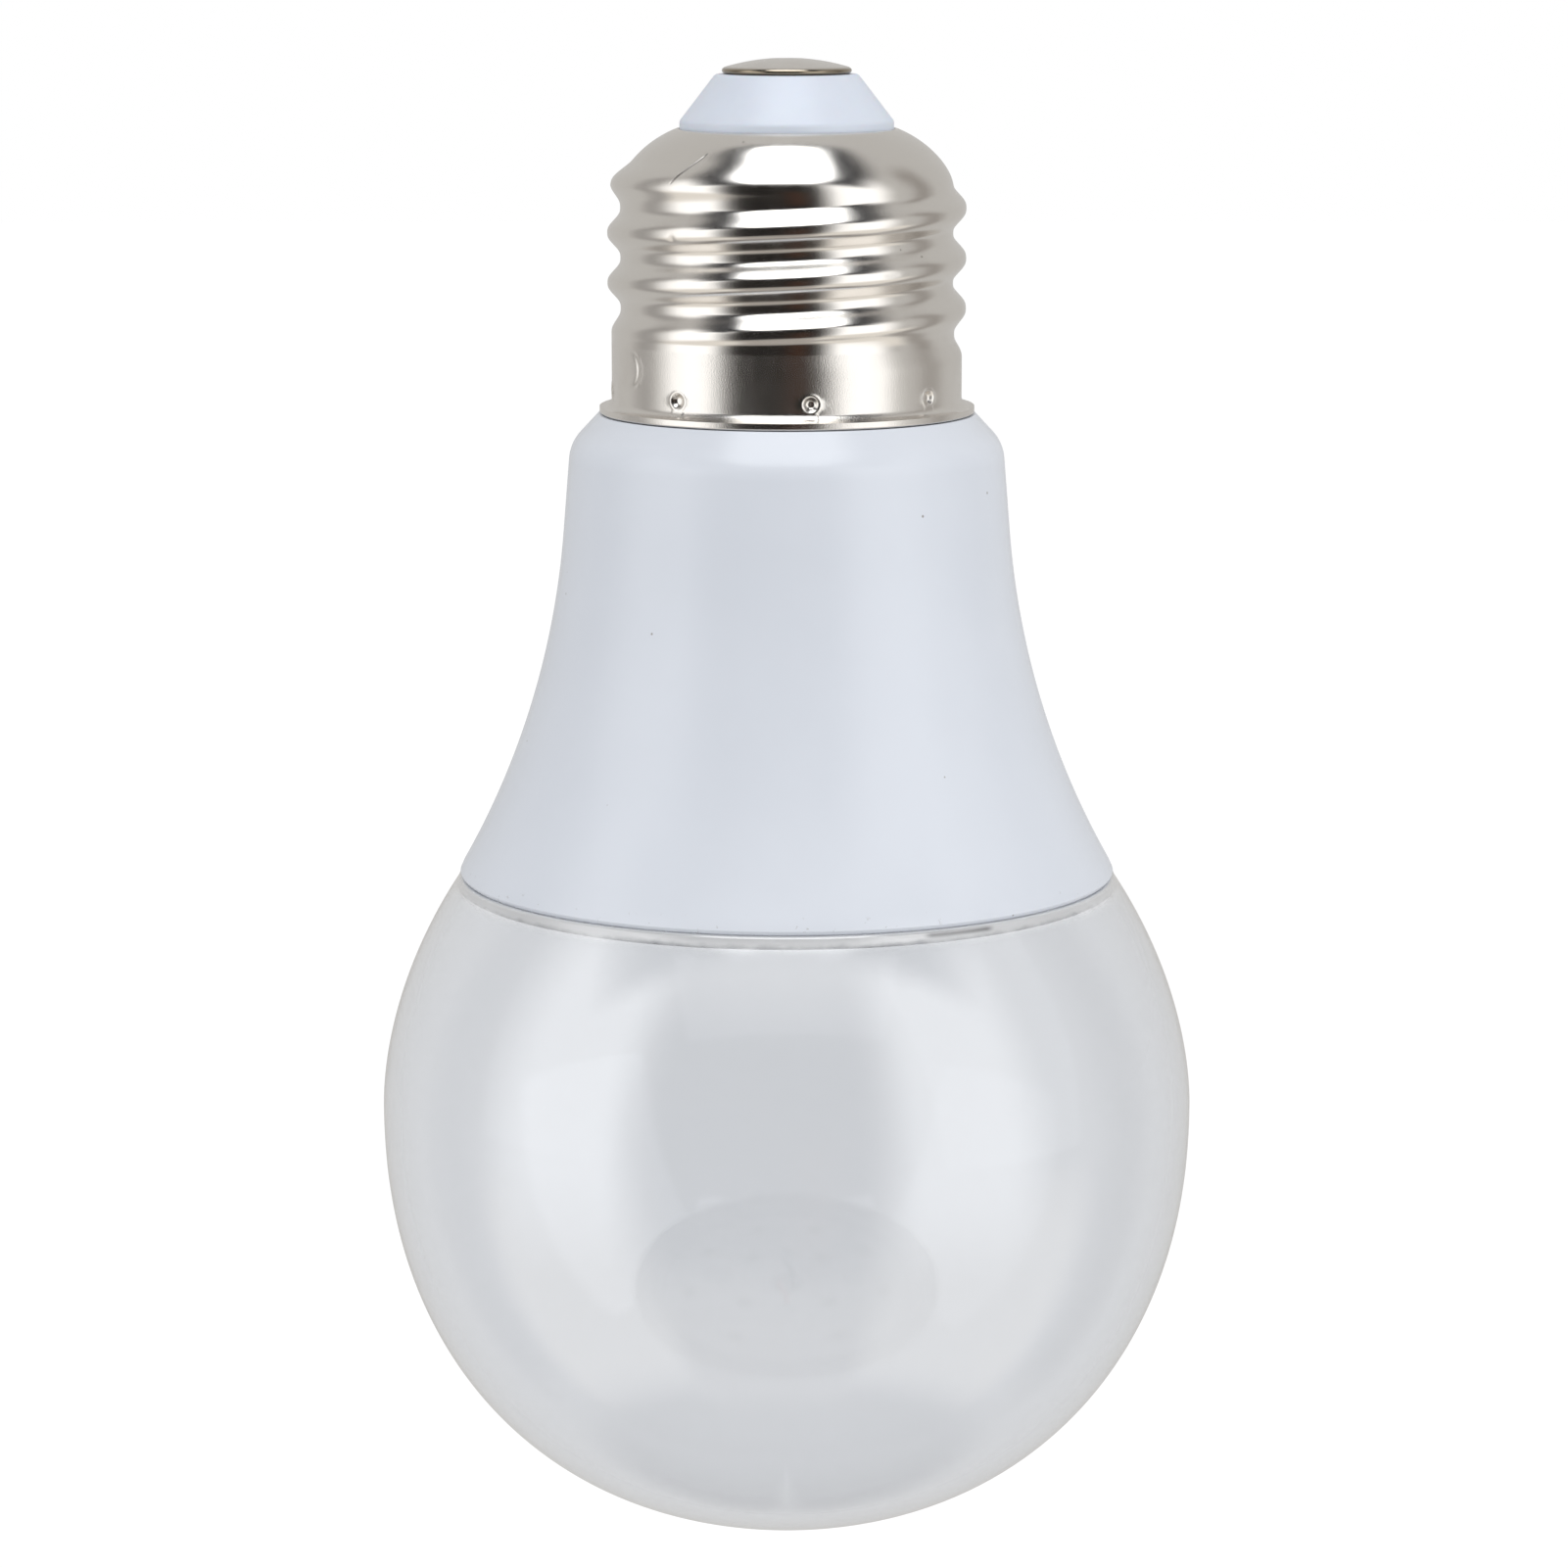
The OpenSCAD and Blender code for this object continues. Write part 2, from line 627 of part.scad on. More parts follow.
module bridge_rectifier() {
    color("dimgray") on_back(3.6, 9) chip(chip_l, chip_w, chip_h, 2);
}

module input_capacitor() {
    axis_h = input_cap_d / 2;
    foot = input_at[1] + 2.2;
    color("darkslateblue") on_front(0, 0) {
        translate([0, foot + input_cap_l, axis_h]) rotate([90, 0, 0])
            can(input_cap_d, input_cap_l);
        for (side = [-1, 1]) {
            translate([side * input_at[2] / 2, foot - 1.1, axis_h]) rotate([90, 0, 0])
                cylinder(d = pin_wire_d, h = 2.8, center = true, $fn = 24);
            translate([side * input_at[2] / 2, input_at[1], -driver_t - 1])
                cylinder(d = pin_wire_d, h = driver_t + 1 + axis_h + pin_wire_d / 2, $fn = 24);
        }
    }
}

// An electrolytic can with the rolled groove near its open end
module can(d, h) {
    groove = 0.35;
    turned([
        [0, 0], [d / 2 - 0.4, 0], [d / 2, 0.4], [d / 2, h - 2.4], [d / 2 - groove, h - 2],
        [d / 2, h - 1.6], [d / 2, h - 0.4], [d / 2 - 0.4, h], [0, h]]);
}

// A ferrite drum with its winding
module drum(d, h) {
    flange = 1.1;
    waist = 0.5;
    turned([
        [0, 0], [d / 2, 0], [d / 2, flange], [d / 2 - waist, flange],
        [d / 2 - waist, h - flange], [d / 2, h - flange], [d / 2, h], [0, h]]);
}

module filter_inductor() {
    color("sienna") on_front(choke_at[0], choke_at[1]) {
        drum(choke_d, choke_h);
        pins(choke_at[2]);
    }
}

module power_inductor() {
    plate = 2;
    leg = 1.5;
    color("goldenrod") on_front(coil_at[0], coil_at[1]) {
        for (end = [0, 1]) translate([-coil_w / 2, -coil_depth / 2, end * (coil_h - plate)])
            cube([coil_w, coil_depth, plate]);
        for (side = [0, 1])
            translate([side * (coil_w - leg) - coil_w / 2, -coil_depth * 0.29, 0])
                cube([leg, coil_depth * 0.58, coil_h]);
        cylinder(d = coil_w - 2, h = coil_h, $fn = 64);
        pins(coil_at[2]);
    }
}

module driver_chip() {
    color("dimgray") on_back(-1.5, 29.5) chip(chip_l, chip_w, chip_h, 4);
}

module output_diode() {
    color("dimgray") on_back(8.4, 33) chip(diode_l, diode_l * 0.6, diode_l * 0.47, 1);
}

module output_capacitor() {
    color("darkslateblue") on_front(output_at[0], output_at[1]) {
        translate([0, 0, output_cap_h]) rotate([180, 0, 0]) can(output_cap_d, output_cap_h);
        pins(output_at[2]);
    }
}

// LEADS
// Length of a lead beyond the middle of its solder joint
lead_run = 0.8;

// Points between p1 and p2 on a smooth curve that also passes p0 and p3
function bend(p0, p1, p2, p3, n) = [for (i = [0 : n - 1]) let (t = i / n)
    0.5 * (2 * p1 + t * (p2 - p0) + t * t * (2 * p0 - 5 * p1 + 4 * p2 - p3)
           + t * t * t * (3 * p1 - p0 - 3 * p2 + p3))];

// A smooth curve through all the points of a route
function smooth(route, n) = let (last = len(route) - 1) concat(
    [for (i = [0 : last - 1])
        each bend(route[max(0, i - 1)], route[i], route[i + 1], route[min(last, i + 2)], n)],
    [route[last]]);

// A round lead swept along a route. across is a direction the route never takes.
module lead(route, across, steps = 4) {
    path = smooth(route, steps);
    last = len(path) - 1;
    rings = [for (i = [0 : last]) let (
        run = path[min(last, i + 1)] - path[max(0, i - 1)],
        t = run / norm(run), u0 = cross(across, t), u = u0 / norm(u0), v = cross(t, u))
        for (k = [0 : lead_sides - 1]) let (a = 360 * (k + 0.5) / lead_sides)
            path[i] + lead_d / 2 * (cos(a) * u + sin(a) * v)];
    sides = [for (i = [0 : last - 1], k = [0 : lead_sides - 1])
        let (k2 = (k + 1) % lead_sides)
        [i * lead_sides + k, (i + 1) * lead_sides + k,
         (i + 1) * lead_sides + k2, i * lead_sides + k2]];
    ends = [[for (k = [0 : lead_sides - 1]) k],
            [for (k = [lead_sides - 1 : -1 : 0]) last * lead_sides + k]];
    polyhedron(rings, concat(sides, ends));
}

// Route of an LED lead on one side, from the driver through the hole to its joint
function led_route(side) = let (
    start_z = driver_z - driver_h + 4,
    face_y = driver_face_y + lead_d / 2 + seat_gap)
    [[side * 2, face_y, start_z], [side * 2, face_y, start_z - 3],
     [side * 1.1, face_y / 2, start_z - 6], [side * 1.1, 0, sink_z + 1.4],
     [side * 1.1, 0, led_z], [side * 1, side * 0.8, led_z - 1.3],
     [side * 0.5, side * 2.6, led_z - 1.7], [0, side * 4.4, lead_lie_z - 0.2],
     [0, side * (solder_drop - 1), lead_lie_z], [0, side * (solder_drop + lead_run), lead_lie_z]];

module lead_positive() {
    color("firebrick") lead(led_route(1), [1, 0, 0]);
}

module lead_negative() {
    color("darkslategray") lead(led_route(-1), [1, 0, 0]);
}

module live_lead() {
    back_y = driver_back_y - lead_d / 2 - fit_gap;
    pin_x = -(pin_d + lead_d) / 2 - 2 * seat_gap;
    color("saddlebrown") lead([
        [-6.6, back_y, driver_z - 3], [-6.6, back_y, driver_z - 0.5],
        [-5.8, back_y * 0.8, driver_z + 1.4], [pin_x - 1.4, back_y * 0.3, opening_z - 4.6],
        [pin_x, 0, opening_z - 2.6], [pin_x, 0, opening_z - 0.9]], [0, 1, 0]);
}

module neutral_lead() {
    back_y = driver_back_y - lead_d / 2 - fit_gap;
    groove_x = neck_r - lead_d / 2;
    over_z = neck_z + lead_d / 2 + seat_gap;
    mid_x = neck_r - neck_t / 2;
    color("royalblue") lead([
        [3, back_y, driver_z - 3], [3, back_y, driver_z - 0.5],
        [4.4, back_y * 0.9, driver_z + 1.2], [neck_bore_r - 2, back_y * 0.4, neck_z - 0.5],
        [neck_bore_r - 0.2, 0, over_z + 0.1], [mid_x + 0.2, 0, over_z + 0.2],
        [groove_x, 0, neck_z - 0.9], [groove_x, 0, neck_z - groove_l + 0.6]], [0, 1, 0]);
}

// GLOBE
// Half heights of the ovals above and below the widest place
globe_r = globe_d / 2;
seam_r = mouth_d / 2 - seat_gap;
function half_height(r) = equator_drop
    / pow(1 - pow(seam_r / r, upper_fullness), 1 / upper_fullness);
upper_half = half_height(globe_r);
lower_half = globe_h - equator_drop;

// Outline of a globe of radius r, from height h above its widest place to its pole
function globe_side(h, sink) = concat(
    [for (i = [0 : 19]) let (y = h * (1 - i / 20))
        [oval_r(globe_r - sink, upper_half - sink, upper_fullness, y), equator_z + y]],
    [for (i = [0 : 35]) let (y = (lower_half - sink) * sin(90 * i / 36))
        [oval_r(globe_r - sink, lower_half - sink, lower_fullness, y), equator_z - y]],
    [[0, equator_z - lower_half + sink]]);

module globe() {
    inner = globe_side(equator_drop - globe_t, globe_t);
    neck_in = globe_neck_r - globe_t;
    edge_r = oval_r(globe_r, upper_half, upper_fullness, equator_drop - globe_round);
    color("aliceblue", 0.4) turned(concat(
        [[neck_in, seam_z + globe_neck_h], [globe_neck_r - 0.3, seam_z + globe_neck_h],
         [globe_neck_r, seam_z + globe_neck_h - 0.3], [globe_neck_r, seam_z]],
        arc([edge_r - globe_round, seam_z - globe_round], globe_round, globe_round, 90, 30, 3),
        globe_side(equator_drop - globe_round, 0),
        [for (i = [len(inner) - 1 : -1 : 0]) inner[i]],
        [[neck_in, seam_z - globe_t]]));
}

// The silicone bead between the globe's neck and the housing's mouth
module globe_sealant() {
    top_z = seam_z + globe_neck_h - 0.4;
    low_z = seam_z + seat_gap;
    bore = [for (i = [0 : 4]) let (z = low_z + (top_z - low_z) * i / 4)
        [bore_r(z) - seat_gap, z]];
    color("lightgray") turned(concat(
        [[globe_neck_r + seat_gap, top_z], [globe_neck_r + seat_gap, low_z]], bore));
}

contact_pin();
cap_insulator();
screw_shell();
housing();
heat_sink();
thermal_pad();
led_board();
for (i = [1 : len(LEDS)]) led(i);
solder_joints();
board_screws();
lead_positive();
lead_negative();
driver_board();
fuse_resistor();
bridge_rectifier();
input_capacitor();
filter_inductor();
power_inductor();
driver_chip();
output_diode();
output_capacitor();
live_lead();
neutral_lead();
globe_sealant();
globe();
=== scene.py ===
# Looks of the LED black light bulb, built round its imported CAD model.
# Outlines are worked out in millimetres, and objects are in metres.
import math

import bmesh
import bpy
import numpy as np
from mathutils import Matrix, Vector

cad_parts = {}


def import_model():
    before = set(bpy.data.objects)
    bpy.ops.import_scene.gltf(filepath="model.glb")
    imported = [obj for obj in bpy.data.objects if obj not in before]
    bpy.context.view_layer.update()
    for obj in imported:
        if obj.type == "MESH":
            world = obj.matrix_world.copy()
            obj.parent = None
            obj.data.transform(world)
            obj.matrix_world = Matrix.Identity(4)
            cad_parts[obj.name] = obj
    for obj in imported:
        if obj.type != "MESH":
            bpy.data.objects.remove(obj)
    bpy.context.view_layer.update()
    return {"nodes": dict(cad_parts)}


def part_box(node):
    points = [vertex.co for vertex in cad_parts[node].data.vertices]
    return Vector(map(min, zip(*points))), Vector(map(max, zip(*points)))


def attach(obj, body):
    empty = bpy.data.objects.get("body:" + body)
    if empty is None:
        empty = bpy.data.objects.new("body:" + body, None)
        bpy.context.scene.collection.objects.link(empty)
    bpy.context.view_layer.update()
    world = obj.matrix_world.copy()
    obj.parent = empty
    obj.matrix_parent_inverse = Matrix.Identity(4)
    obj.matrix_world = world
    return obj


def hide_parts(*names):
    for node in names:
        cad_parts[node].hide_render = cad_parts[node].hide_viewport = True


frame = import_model()
MM = 0.001

# Camera, found by fitting the bulb's outline in the photograph
CAMERA_AT = (-0.0002, -0.36418, 0.0109)
CAMERA_PITCH = 9.99
CAMERA_LENS = 114.54

# Segments round the turned pieces
ROUND = 288


# LEVELS AND RADII OF THE CAD MODEL, IN MILLIMETRES
def span(node):
    """Lowest and highest corner of a CAD node."""
    low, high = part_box(node)
    return low / MM, high / MM


pin_low, pin_high = span("contact_pin")
_, insulator_high = span("cap_insulator")
shell_low, shell_high = span("screw_shell")
housing_low, housing_high = span("housing")
globe_low, globe_high = span("globe")
board_low, board_high = span("led_board")

FIT_GAP = 0.1
SEAT_GAP = 0.05

# Cap
CONTACT_RIM = 0.4
TIP_FLAT_D = 2.4
PIN_D = 2.2
INSULATOR_TOP_D = 10.8
INSULATOR_ROUND = 0.45
INSULATOR_LIP = 0.3
LIP_ROUND = 0.5
EDGE_END = 32
CONE_TILT = 38
FLANGE_T = 1.2
POCKET_D = 4.8
POCKET_DROP = 0.6
PIN_CHAMFER = 0.4
insulator_z = insulator_high.z + SEAT_GAP
opening_z = shell_high.z
rim_z = shell_low.z

# Screw shell
THREAD_R = 13.05
THREAD_DEPTH = 0.95
THREAD_PITCH = 3.629
CREST_DROP = 5.76
CREST_FULLNESS = 0.51
FLANK_STEEPNESS = 0.56
PROFILE_EASE = 0.1
SHEET_T = 0.3
OPENING_R = 7.83
DOME_H = 4.2
DOME_ROUND = 5.6
DOME_FULLNESS = 1.6
SKIRT_R = 12.775
FLARE_H = 0.65
RIM_LIP = 0.5
RIM_SLACK = 0.05
OPENING_BULGE = 0.3
SATIN_DROP = 15.4
rim_r = shell_high.x
root_r = THREAD_R - THREAD_DEPTH
root_z = opening_z - DOME_H
crown_r = root_r - DOME_ROUND
satin_z = opening_z - SATIN_DROP
flare_z = rim_z + RIM_LIP + FLARE_H
dome_half = DOME_H / (1 - ((OPENING_R - crown_r) / DOME_ROUND) ** DOME_FULLNESS) ** (
    1 / DOME_FULLNESS)

# Heights of the crest between which it grows out of the dome and sinks into the skirt,
# and of the root between which the last groove fades out
CREST_START = (root_z + 1.75, root_z - 0.45)
CREST_END = (opening_z - 13.65, opening_z - 14.85)
GROOVE_END = (opening_z - 14.55, opening_z - 15.8)
SKIRT_EASE = 0.12
CREST_BLEND = 0.12
plain_z = GROOVE_END[1] - THREAD_PITCH / 2

# Rows of the shell's mesh to a pitch of the thread and on the skirt, outside and inside
OUTSIDE_ROWS = (36, 34)
INSIDE_ROWS = (10, 6)

# How far the rim's edge strays from a true circle, in three long waves and in short ones
RIM_WAVE = 0.03
RIM_RIPPLE = 0.02

# Crimp marks, dent, nicks and scratch of the shell. Turns are in degrees from the front,
# positive to the right. The scratch has the turn, height and radius of both its ends.
CRIMPS = 8
CRIMP_TURN = 7.6
CRIMP_D = 1.22
CRIMP_DEPTH = 0.27
CRIMP_LIP = 0.05
crimp_z = flare_z + CRIMP_D / 2
DENT = {"turn": -56.3, "z": -21.95, "radius": 1.4, "half": 1.25, "width": 0.2, "depth": 0.09}
NICKS = [(-39.0, -12.3, 0.4), (36.4, -11.5, 0.3), (34.9, -14.9, 0.28), (-25.8, -15.6, 0.25),
         (-19.5, -18.7, 0.25)]
NICK_DEPTH = 0.05
SCRATCH = ((-31.1, -6.2, 11.2), (-42.5, -8.6, 12.3))
SCRATCH_W = 0.1

# Housing
HOUSING_T = 1.3
SHOULDER_R = 15.85
SHOULDER_H = 2.2
SHOULDER_ROUND = 1.1
TAPER = math.radians(4.65)
TAPER_H = 6.4
MOUTH_ROUND = 0.45
NECK_T = 1.4
COLLAR_H = 3.9
COLLAR_CHAMFER = 0.7
GROOVE_H = 4.6
GROOVE_DEPTH = 1.0
RIB_T = 1.0
RIB_H = 13.0
DRIVER_T = 1.2
DRIVER_W = 17.4
DRIVER_OFFSET = 2.0
neck_z = housing_high.z
seam_z = housing_low.z
mouth_r = housing_high.x
seat_z = rim_z - SEAT_GAP
shoulder_z = seat_z - SHOULDER_H
taper_z = shoulder_z - TAPER_H
neck_r = root_r - SHEET_T - FIT_GAP
neck_bore_r = neck_r - NECK_T
collar_r = SKIRT_R - SHEET_T - FIT_GAP

# Globe
EQUATOR_DROP = 17.2
UPPER_FULLNESS = 1.8
LOWER_FULLNESS = 2.2
GLOBE_T = 1.2
NECK_GAP = 0.4
GLOBE_ROUND = 0.3
NECK_ROUND = 0.3
NECK_FILLET = 0.2
INNER_FILLET = 0.5
UPPER_ROWS = 34
LOWER_ROWS = 64
globe_r = globe_high.y
globe_top = globe_high.z
globe_bottom = globe_low.z
equator_z = seam_z - EQUATOR_DROP

# Glue under the seam: the heights below the seam between which it fades in, how far its
# edge strays, and a dark streak in it with the turns of its ends
GLUE_FADE = (0.95, 0.1)
GLUE_RAGGED = 0.6
STREAK = (23, 37)
STREAK_DROP = 0.3
STREAK_R = 25.6
STREAK_W = 0.28

# Specks that show on the housing and the globe: turn, height, radius and, for the globe, size
HOUSING_SPECK = (11.1, -55.57, 22.66)
GLOBE_SPECKS = [(48.8, -65.9, 28.4, 0.3), (23.2, -95.3, 24.5, 0.3), (-38.6, -58.8, 24.6, 0.35),
                (-79.3, -61.5, 26.4, 0.35)]

# LEDs
OUTER_LEDS = 8
INNER_LEDS = 4
OUTER_RING_R = 15.2
INNER_RING_R = 8.0
LED_W = 3.0
LED_H = 0.7
LED_NOTCH = 0.5
LED_CUP = 0.42
LED_BEVEL = 0.06
LED_PLATE_T = 0.02
WINDOW_R = 1.2
DIE_T = 0.12
BOND_R = 0.02
BALL_R = 0.07
BALL_T = 0.01
SOLDER_DROP = 6.6
led_z = board_low.z


# MESH HELPERS
def fade(a, b, x):
    """Smooth step from 0 at a to 1 at b."""
    t = np.clip((x - a) / (b - a), 0, 1)
    return t * t * (3 - 2 * t)


def arc(centre, rx, rz, start, end, steps):
    """Points of an elliptical arc, from one angle to another in degrees."""
    angles = [math.radians(start + (end - start) * i / steps) for i in range(steps + 1)]
    return [(centre[0] + rx * math.cos(t), centre[1] + rz * math.sin(t)) for t in angles]


def line(start, end, steps):
    """Points along a straight stretch, without its last point."""
    return [(start[0] + (end[0] - start[0]) * i / steps,
             start[1] + (end[1] - start[1]) * i / steps) for i in range(steps)]


def make_object(name, points, faces, materials, indices=None, sharp=38):
    """A smooth mesh object from points in millimetres."""
    mesh = bpy.data.meshes.new(name)
    mesh.from_pydata([tuple(c * MM for c in p) for p in points], [], faces)
    for material in materials:
        mesh.materials.append(material)
    if indices is not None:
        mesh.polygons.foreach_set("material_index", indices)
    mesh.polygons.foreach_set("use_smooth", [True] * len(mesh.polygons))
    mesh.validate()
    turned = bmesh.new()
    turned.from_mesh(mesh)
    bmesh.ops.recalc_face_normals(turned, faces=turned.faces)
    turned.to_mesh(mesh)
    turned.free()
    mesh.set_sharp_from_angle(angle=math.radians(sharp))
    obj = bpy.data.objects.new(name, mesh)
    bpy.context.scene.collection.objects.link(obj)
    return obj


def revolve(outline, segments=ROUND):
    """Points and faces of a closed outline of (radius, height), turned about the axis."""
    points, rings = [], []
    for radius, height in outline:
        if radius < 1e-6:
            rings.append([len(points)] * segments)
            points.append((0.0, 0.0, height))
            continue
        rings.append(list(range(len(points), len(points) + segments)))
        for c in range(segments):
            a = 2 * math.pi * c / segments
            points.append((radius * math.cos(a), radius * math.sin(a), height))
    return points, loft(rings, closed=True)


def loft(rings, closed=False, around=True):
    """Faces between neighbouring rings of point numbers."""
    faces = []
    count = len(rings[0])
    pairs = zip(rings, rings[1:] + rings[:1]) if closed else zip(rings, rings[1:])
    for upper, lower in pairs:
        for c in range(count if around else count - 1):
            d = (c + 1) % count
            corners = [upper[c], upper[d], lower[d], lower[c]]
            face = list(dict.fromkeys(corners))
            if len(face) > 2:
                faces.append(face)
    return faces


def box_part(low, high):
    """Points and faces of a box between two corners."""
    points = [(x, y, z) for x in (low[0], high[0]) for y in (low[1], high[1])
              for z in (low[2], high[2])]
    faces = [(0, 1, 3, 2), (4, 6, 7, 5), (0, 4, 5, 1), (2, 3, 7, 6), (0, 2, 6, 4), (1, 5, 7, 3)]
    return points, faces


class Parts:
    """Several closed shapes gathered into one mesh, each with its own material."""

    def __init__(self):
        self.points, self.faces, self.indices = [], [], []

    def add(self, shape, index=0):
        points, faces = shape
        first = len(self.points)
        self.points += list(points)
        self.faces += [tuple(first + i for i in face) for face in faces]
        self.indices += [index] * len(faces)


def place(piece, slot, *nodes):
    """Fixes a piece to the bulb, and lets it stand for CAD nodes."""
    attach(piece, "root")
    if nodes:
        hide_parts(*nodes)


# MATERIALS
def add_node(tree, kind, inputs=(), **settings):
    """Adds a node. Each of its inputs gets a value, or the socket that feeds it."""
    made = tree.nodes.new(kind)
    for key, value in settings.items():
        setattr(made, key, value)
    for key, value in dict(inputs).items():
        if isinstance(value, bpy.types.NodeSocket):
            tree.links.new(value, made.inputs[key])
        else:
            made.inputs[key].default_value = value
    return made


def rgba(colour):
    """A colour with its fourth value, or a socket as it is."""
    return colour if isinstance(colour, bpy.types.NodeSocket) else (*colour, 1)


class Nodes:
    """A material, with helpers that add nodes to it and give back their output."""

    def __init__(self, name):
        self.material = bpy.data.materials.new(name)
        self.material.use_nodes = True
        self.tree = self.material.node_tree

    def node(self, kind, inputs=(), **settings):
        return add_node(self.tree, kind, inputs, **settings)

    def where(self):
        """The place on the object, in metres."""
        return self.node("ShaderNodeTexCoord").outputs["Object"]

    def split(self, vector):
        return self.node("ShaderNodeSeparateXYZ", {0: vector}).outputs

    def math(self, operation, a, b=0.0, c=0.0):
        return self.node("ShaderNodeMath", {0: a, 1: b, 2: c}, operation=operation).outputs[0]

    def vector(self, operation, a, b=(0, 0, 0), output="Vector"):
        made = self.node("ShaderNodeVectorMath", {0: a, 1: b}, operation=operation)
        return made.outputs[output]

    def remap(self, value, low, high, to_low=0.0, to_high=1.0):
        """Smooth step between two values."""
        return self.node("ShaderNodeMapRange", {
            "Value": value, "From Min": low, "From Max": high, "To Min": to_low,
            "To Max": to_high}, interpolation_type="SMOOTHSTEP").outputs[0]

    def mix(self, amount, first, second):
        return self.node("ShaderNodeMix", {0: amount, 6: rgba(first), 7: rgba(second)},
                         data_type="RGBA").outputs[2]


class Finish(Nodes):
    """A Principled material, with patterns that feed its sockets."""

    def __init__(self, name, colour, **sockets):
        super().__init__(name)
        self.shader = self.tree.nodes["Principled BSDF"]
        self.shader.inputs["Base Color"].default_value = rgba(colour)
        for socket, value in sockets.items():
            self.shader.inputs[socket.replace("_", " ")].default_value = value
        self.place = self.where()

    def noise(self, size, detail=3.0, roughness=0.5, stretch=(1, 1, 1)):
        """Noise whose blotches are about size millimetres across."""
        scaled = self.node("ShaderNodeMapping", {"Vector": self.place, "Scale": stretch})
        return self.node("ShaderNodeTexNoise", {
            "Vector": scaled.outputs[0], "Scale": 1 / (size * MM), "Detail": detail,
            "Roughness": roughness}).outputs["Fac"]

    def height(self):
        """Height above the contact tip, in metres."""
        return self.split(self.place)["Z"]

    def specks(self, cell, size, share):
        """Small round specks of size millimetres in a share of the cells."""
        cells = self.node("ShaderNodeTexVoronoi", {
            "Vector": self.place, "Scale": 1 / (cell * MM)}, feature="F1")
        lot = self.node("ShaderNodeSeparateColor", {0: cells.outputs["Color"]}).outputs[0]
        near = self.remap(cells.outputs["Distance"], size / cell * 0.5, size / cell, 1.0, 0.0)
        return self.math("MULTIPLY", near, self.math("LESS_THAN", lot, share))

    def spot(self, point, size):
        """A small round mark of size millimetres at a point in metres."""
        near = self.vector("DISTANCE", self.place, tuple(point), "Value")
        return self.remap(near, size * 0.35 * MM, size * 0.6 * MM, 1.0, 0.0)

    def scratch(self, start, end, width):
        """A thin scratch between two points in metres, seen along the radius."""
        a, b = Vector(start), Vector(end)
        along = b - a
        across = along.cross(Vector((a.x, a.y, 0))).normalized()
        offset = self.vector("SUBTRACT", self.place, tuple(a))
        side = self.math("ABSOLUTE", self.vector("DOT_PRODUCT", offset, tuple(across), "Value"))
        run = self.vector("DOT_PRODUCT", offset, tuple(along / along.length_squared), "Value")
        inside = self.math("MULTIPLY", self.remap(run, 0.0, 0.15), self.remap(run, 0.85, 1.0, 1, 0))
        far = self.vector("DISTANCE", self.place, tuple((a + b) / 2), "Value")
        inside = self.math("MULTIPLY", inside, self.math("LESS_THAN", far, along.length))
        return self.math("MULTIPLY", self.remap(side, 0.0, width * MM, 1.0, 0.0), inside)

    def bump(self, relief, depth, strength=1.0, below=None):
        """Relief with a depth in millimetres."""
        inputs = {"Height": relief, "Distance": depth * MM, "Strength": strength}
        if below is not None:
            inputs["Normal"] = below
        return self.node("ShaderNodeBump", inputs).outputs[0]

    def feed(self, socket, value):
        self.tree.links.new(value, self.shader.inputs[socket])

    def fed(self, socket):
        """What feeds a socket so far."""
        return self.shader.inputs[socket].links[0].from_socket


def on_axis(turn, z, radius):
    """A point in metres at a turn from the front, a height and a distance from the axis."""
    a = math.radians(turn)
    return Vector((radius * math.sin(a), -radius * math.cos(a), z)) * MM


def nickel(name, satin_below=None):
    """Bright nickel plate with fine grain, satin below a height where one is given."""
    m = Finish(name, (0.78, 0.75, 0.71), Metallic=1.0, Roughness=0.14)
    cloud = m.noise(6.0, 4.0)
    grain = m.noise(0.09, 2.0)
    smear = m.noise(2.2, 5.0, 0.6, (1, 1, 0.25))
    tarnish = m.remap(cloud, 0.52, 0.75, 0.0, 0.35)
    marks = m.specks(1.6, 0.09, 0.1)
    m.feed("Base Color", m.mix(marks, m.mix(tarnish, (0.79, 0.76, 0.72), (0.66, 0.62, 0.57)),
                               (0.20, 0.18, 0.16)))
    rough = m.remap(smear, 0.35, 0.7, 0.15, 0.20)
    fine = m.bump(grain, 0.004, 0.35)
    if satin_below is not None:
        satin = m.remap(m.height(), (satin_below - 0.1) * MM, (satin_below + 0.1) * MM, 1.0, 0.0)
        rough = m.math("MULTIPLY_ADD", satin, 0.06, rough)
        fine = m.bump(m.math("MULTIPLY", satin, grain), 0.012, 0.6, fine)
    m.feed("Roughness", rough)
    m.feed("Normal", fine)
    return m


def contact_nickel():
    """The same plate, with painted shade: darker and browner at the button's rim."""
    m = nickel("contact_nickel")
    # Painted shade: the rim's colour is darkened and browned in place of the dark reflection it shows.
    rim = m.remap(m.height(), (insulator_z + CONTACT_RIM * 0.7) * MM,
                  (insulator_z + CONTACT_RIM * 1.3) * MM, 1.0, 0.0)
    m.feed("Base Color", m.mix(rim, m.fed("Base Color"), (0.32, 0.27, 0.20)))
    return m.material


def shell_nickel():
    """The same plate, satin on the skirt and scratched on the dome."""
    m = nickel("shell_nickel", satin_z)
    scratch = m.scratch(*(on_axis(*end) for end in SCRATCH), SCRATCH_W)
    m.feed("Normal", m.bump(m.math("SUBTRACT", 1.0, scratch), 0.03, 1.0, m.fed("Normal")))
    m.feed("Base Color", m.mix(m.math("MULTIPLY", scratch, 0.65), m.fed("Base Color"),
                               (0.20, 0.18, 0.16)))
    return m.material


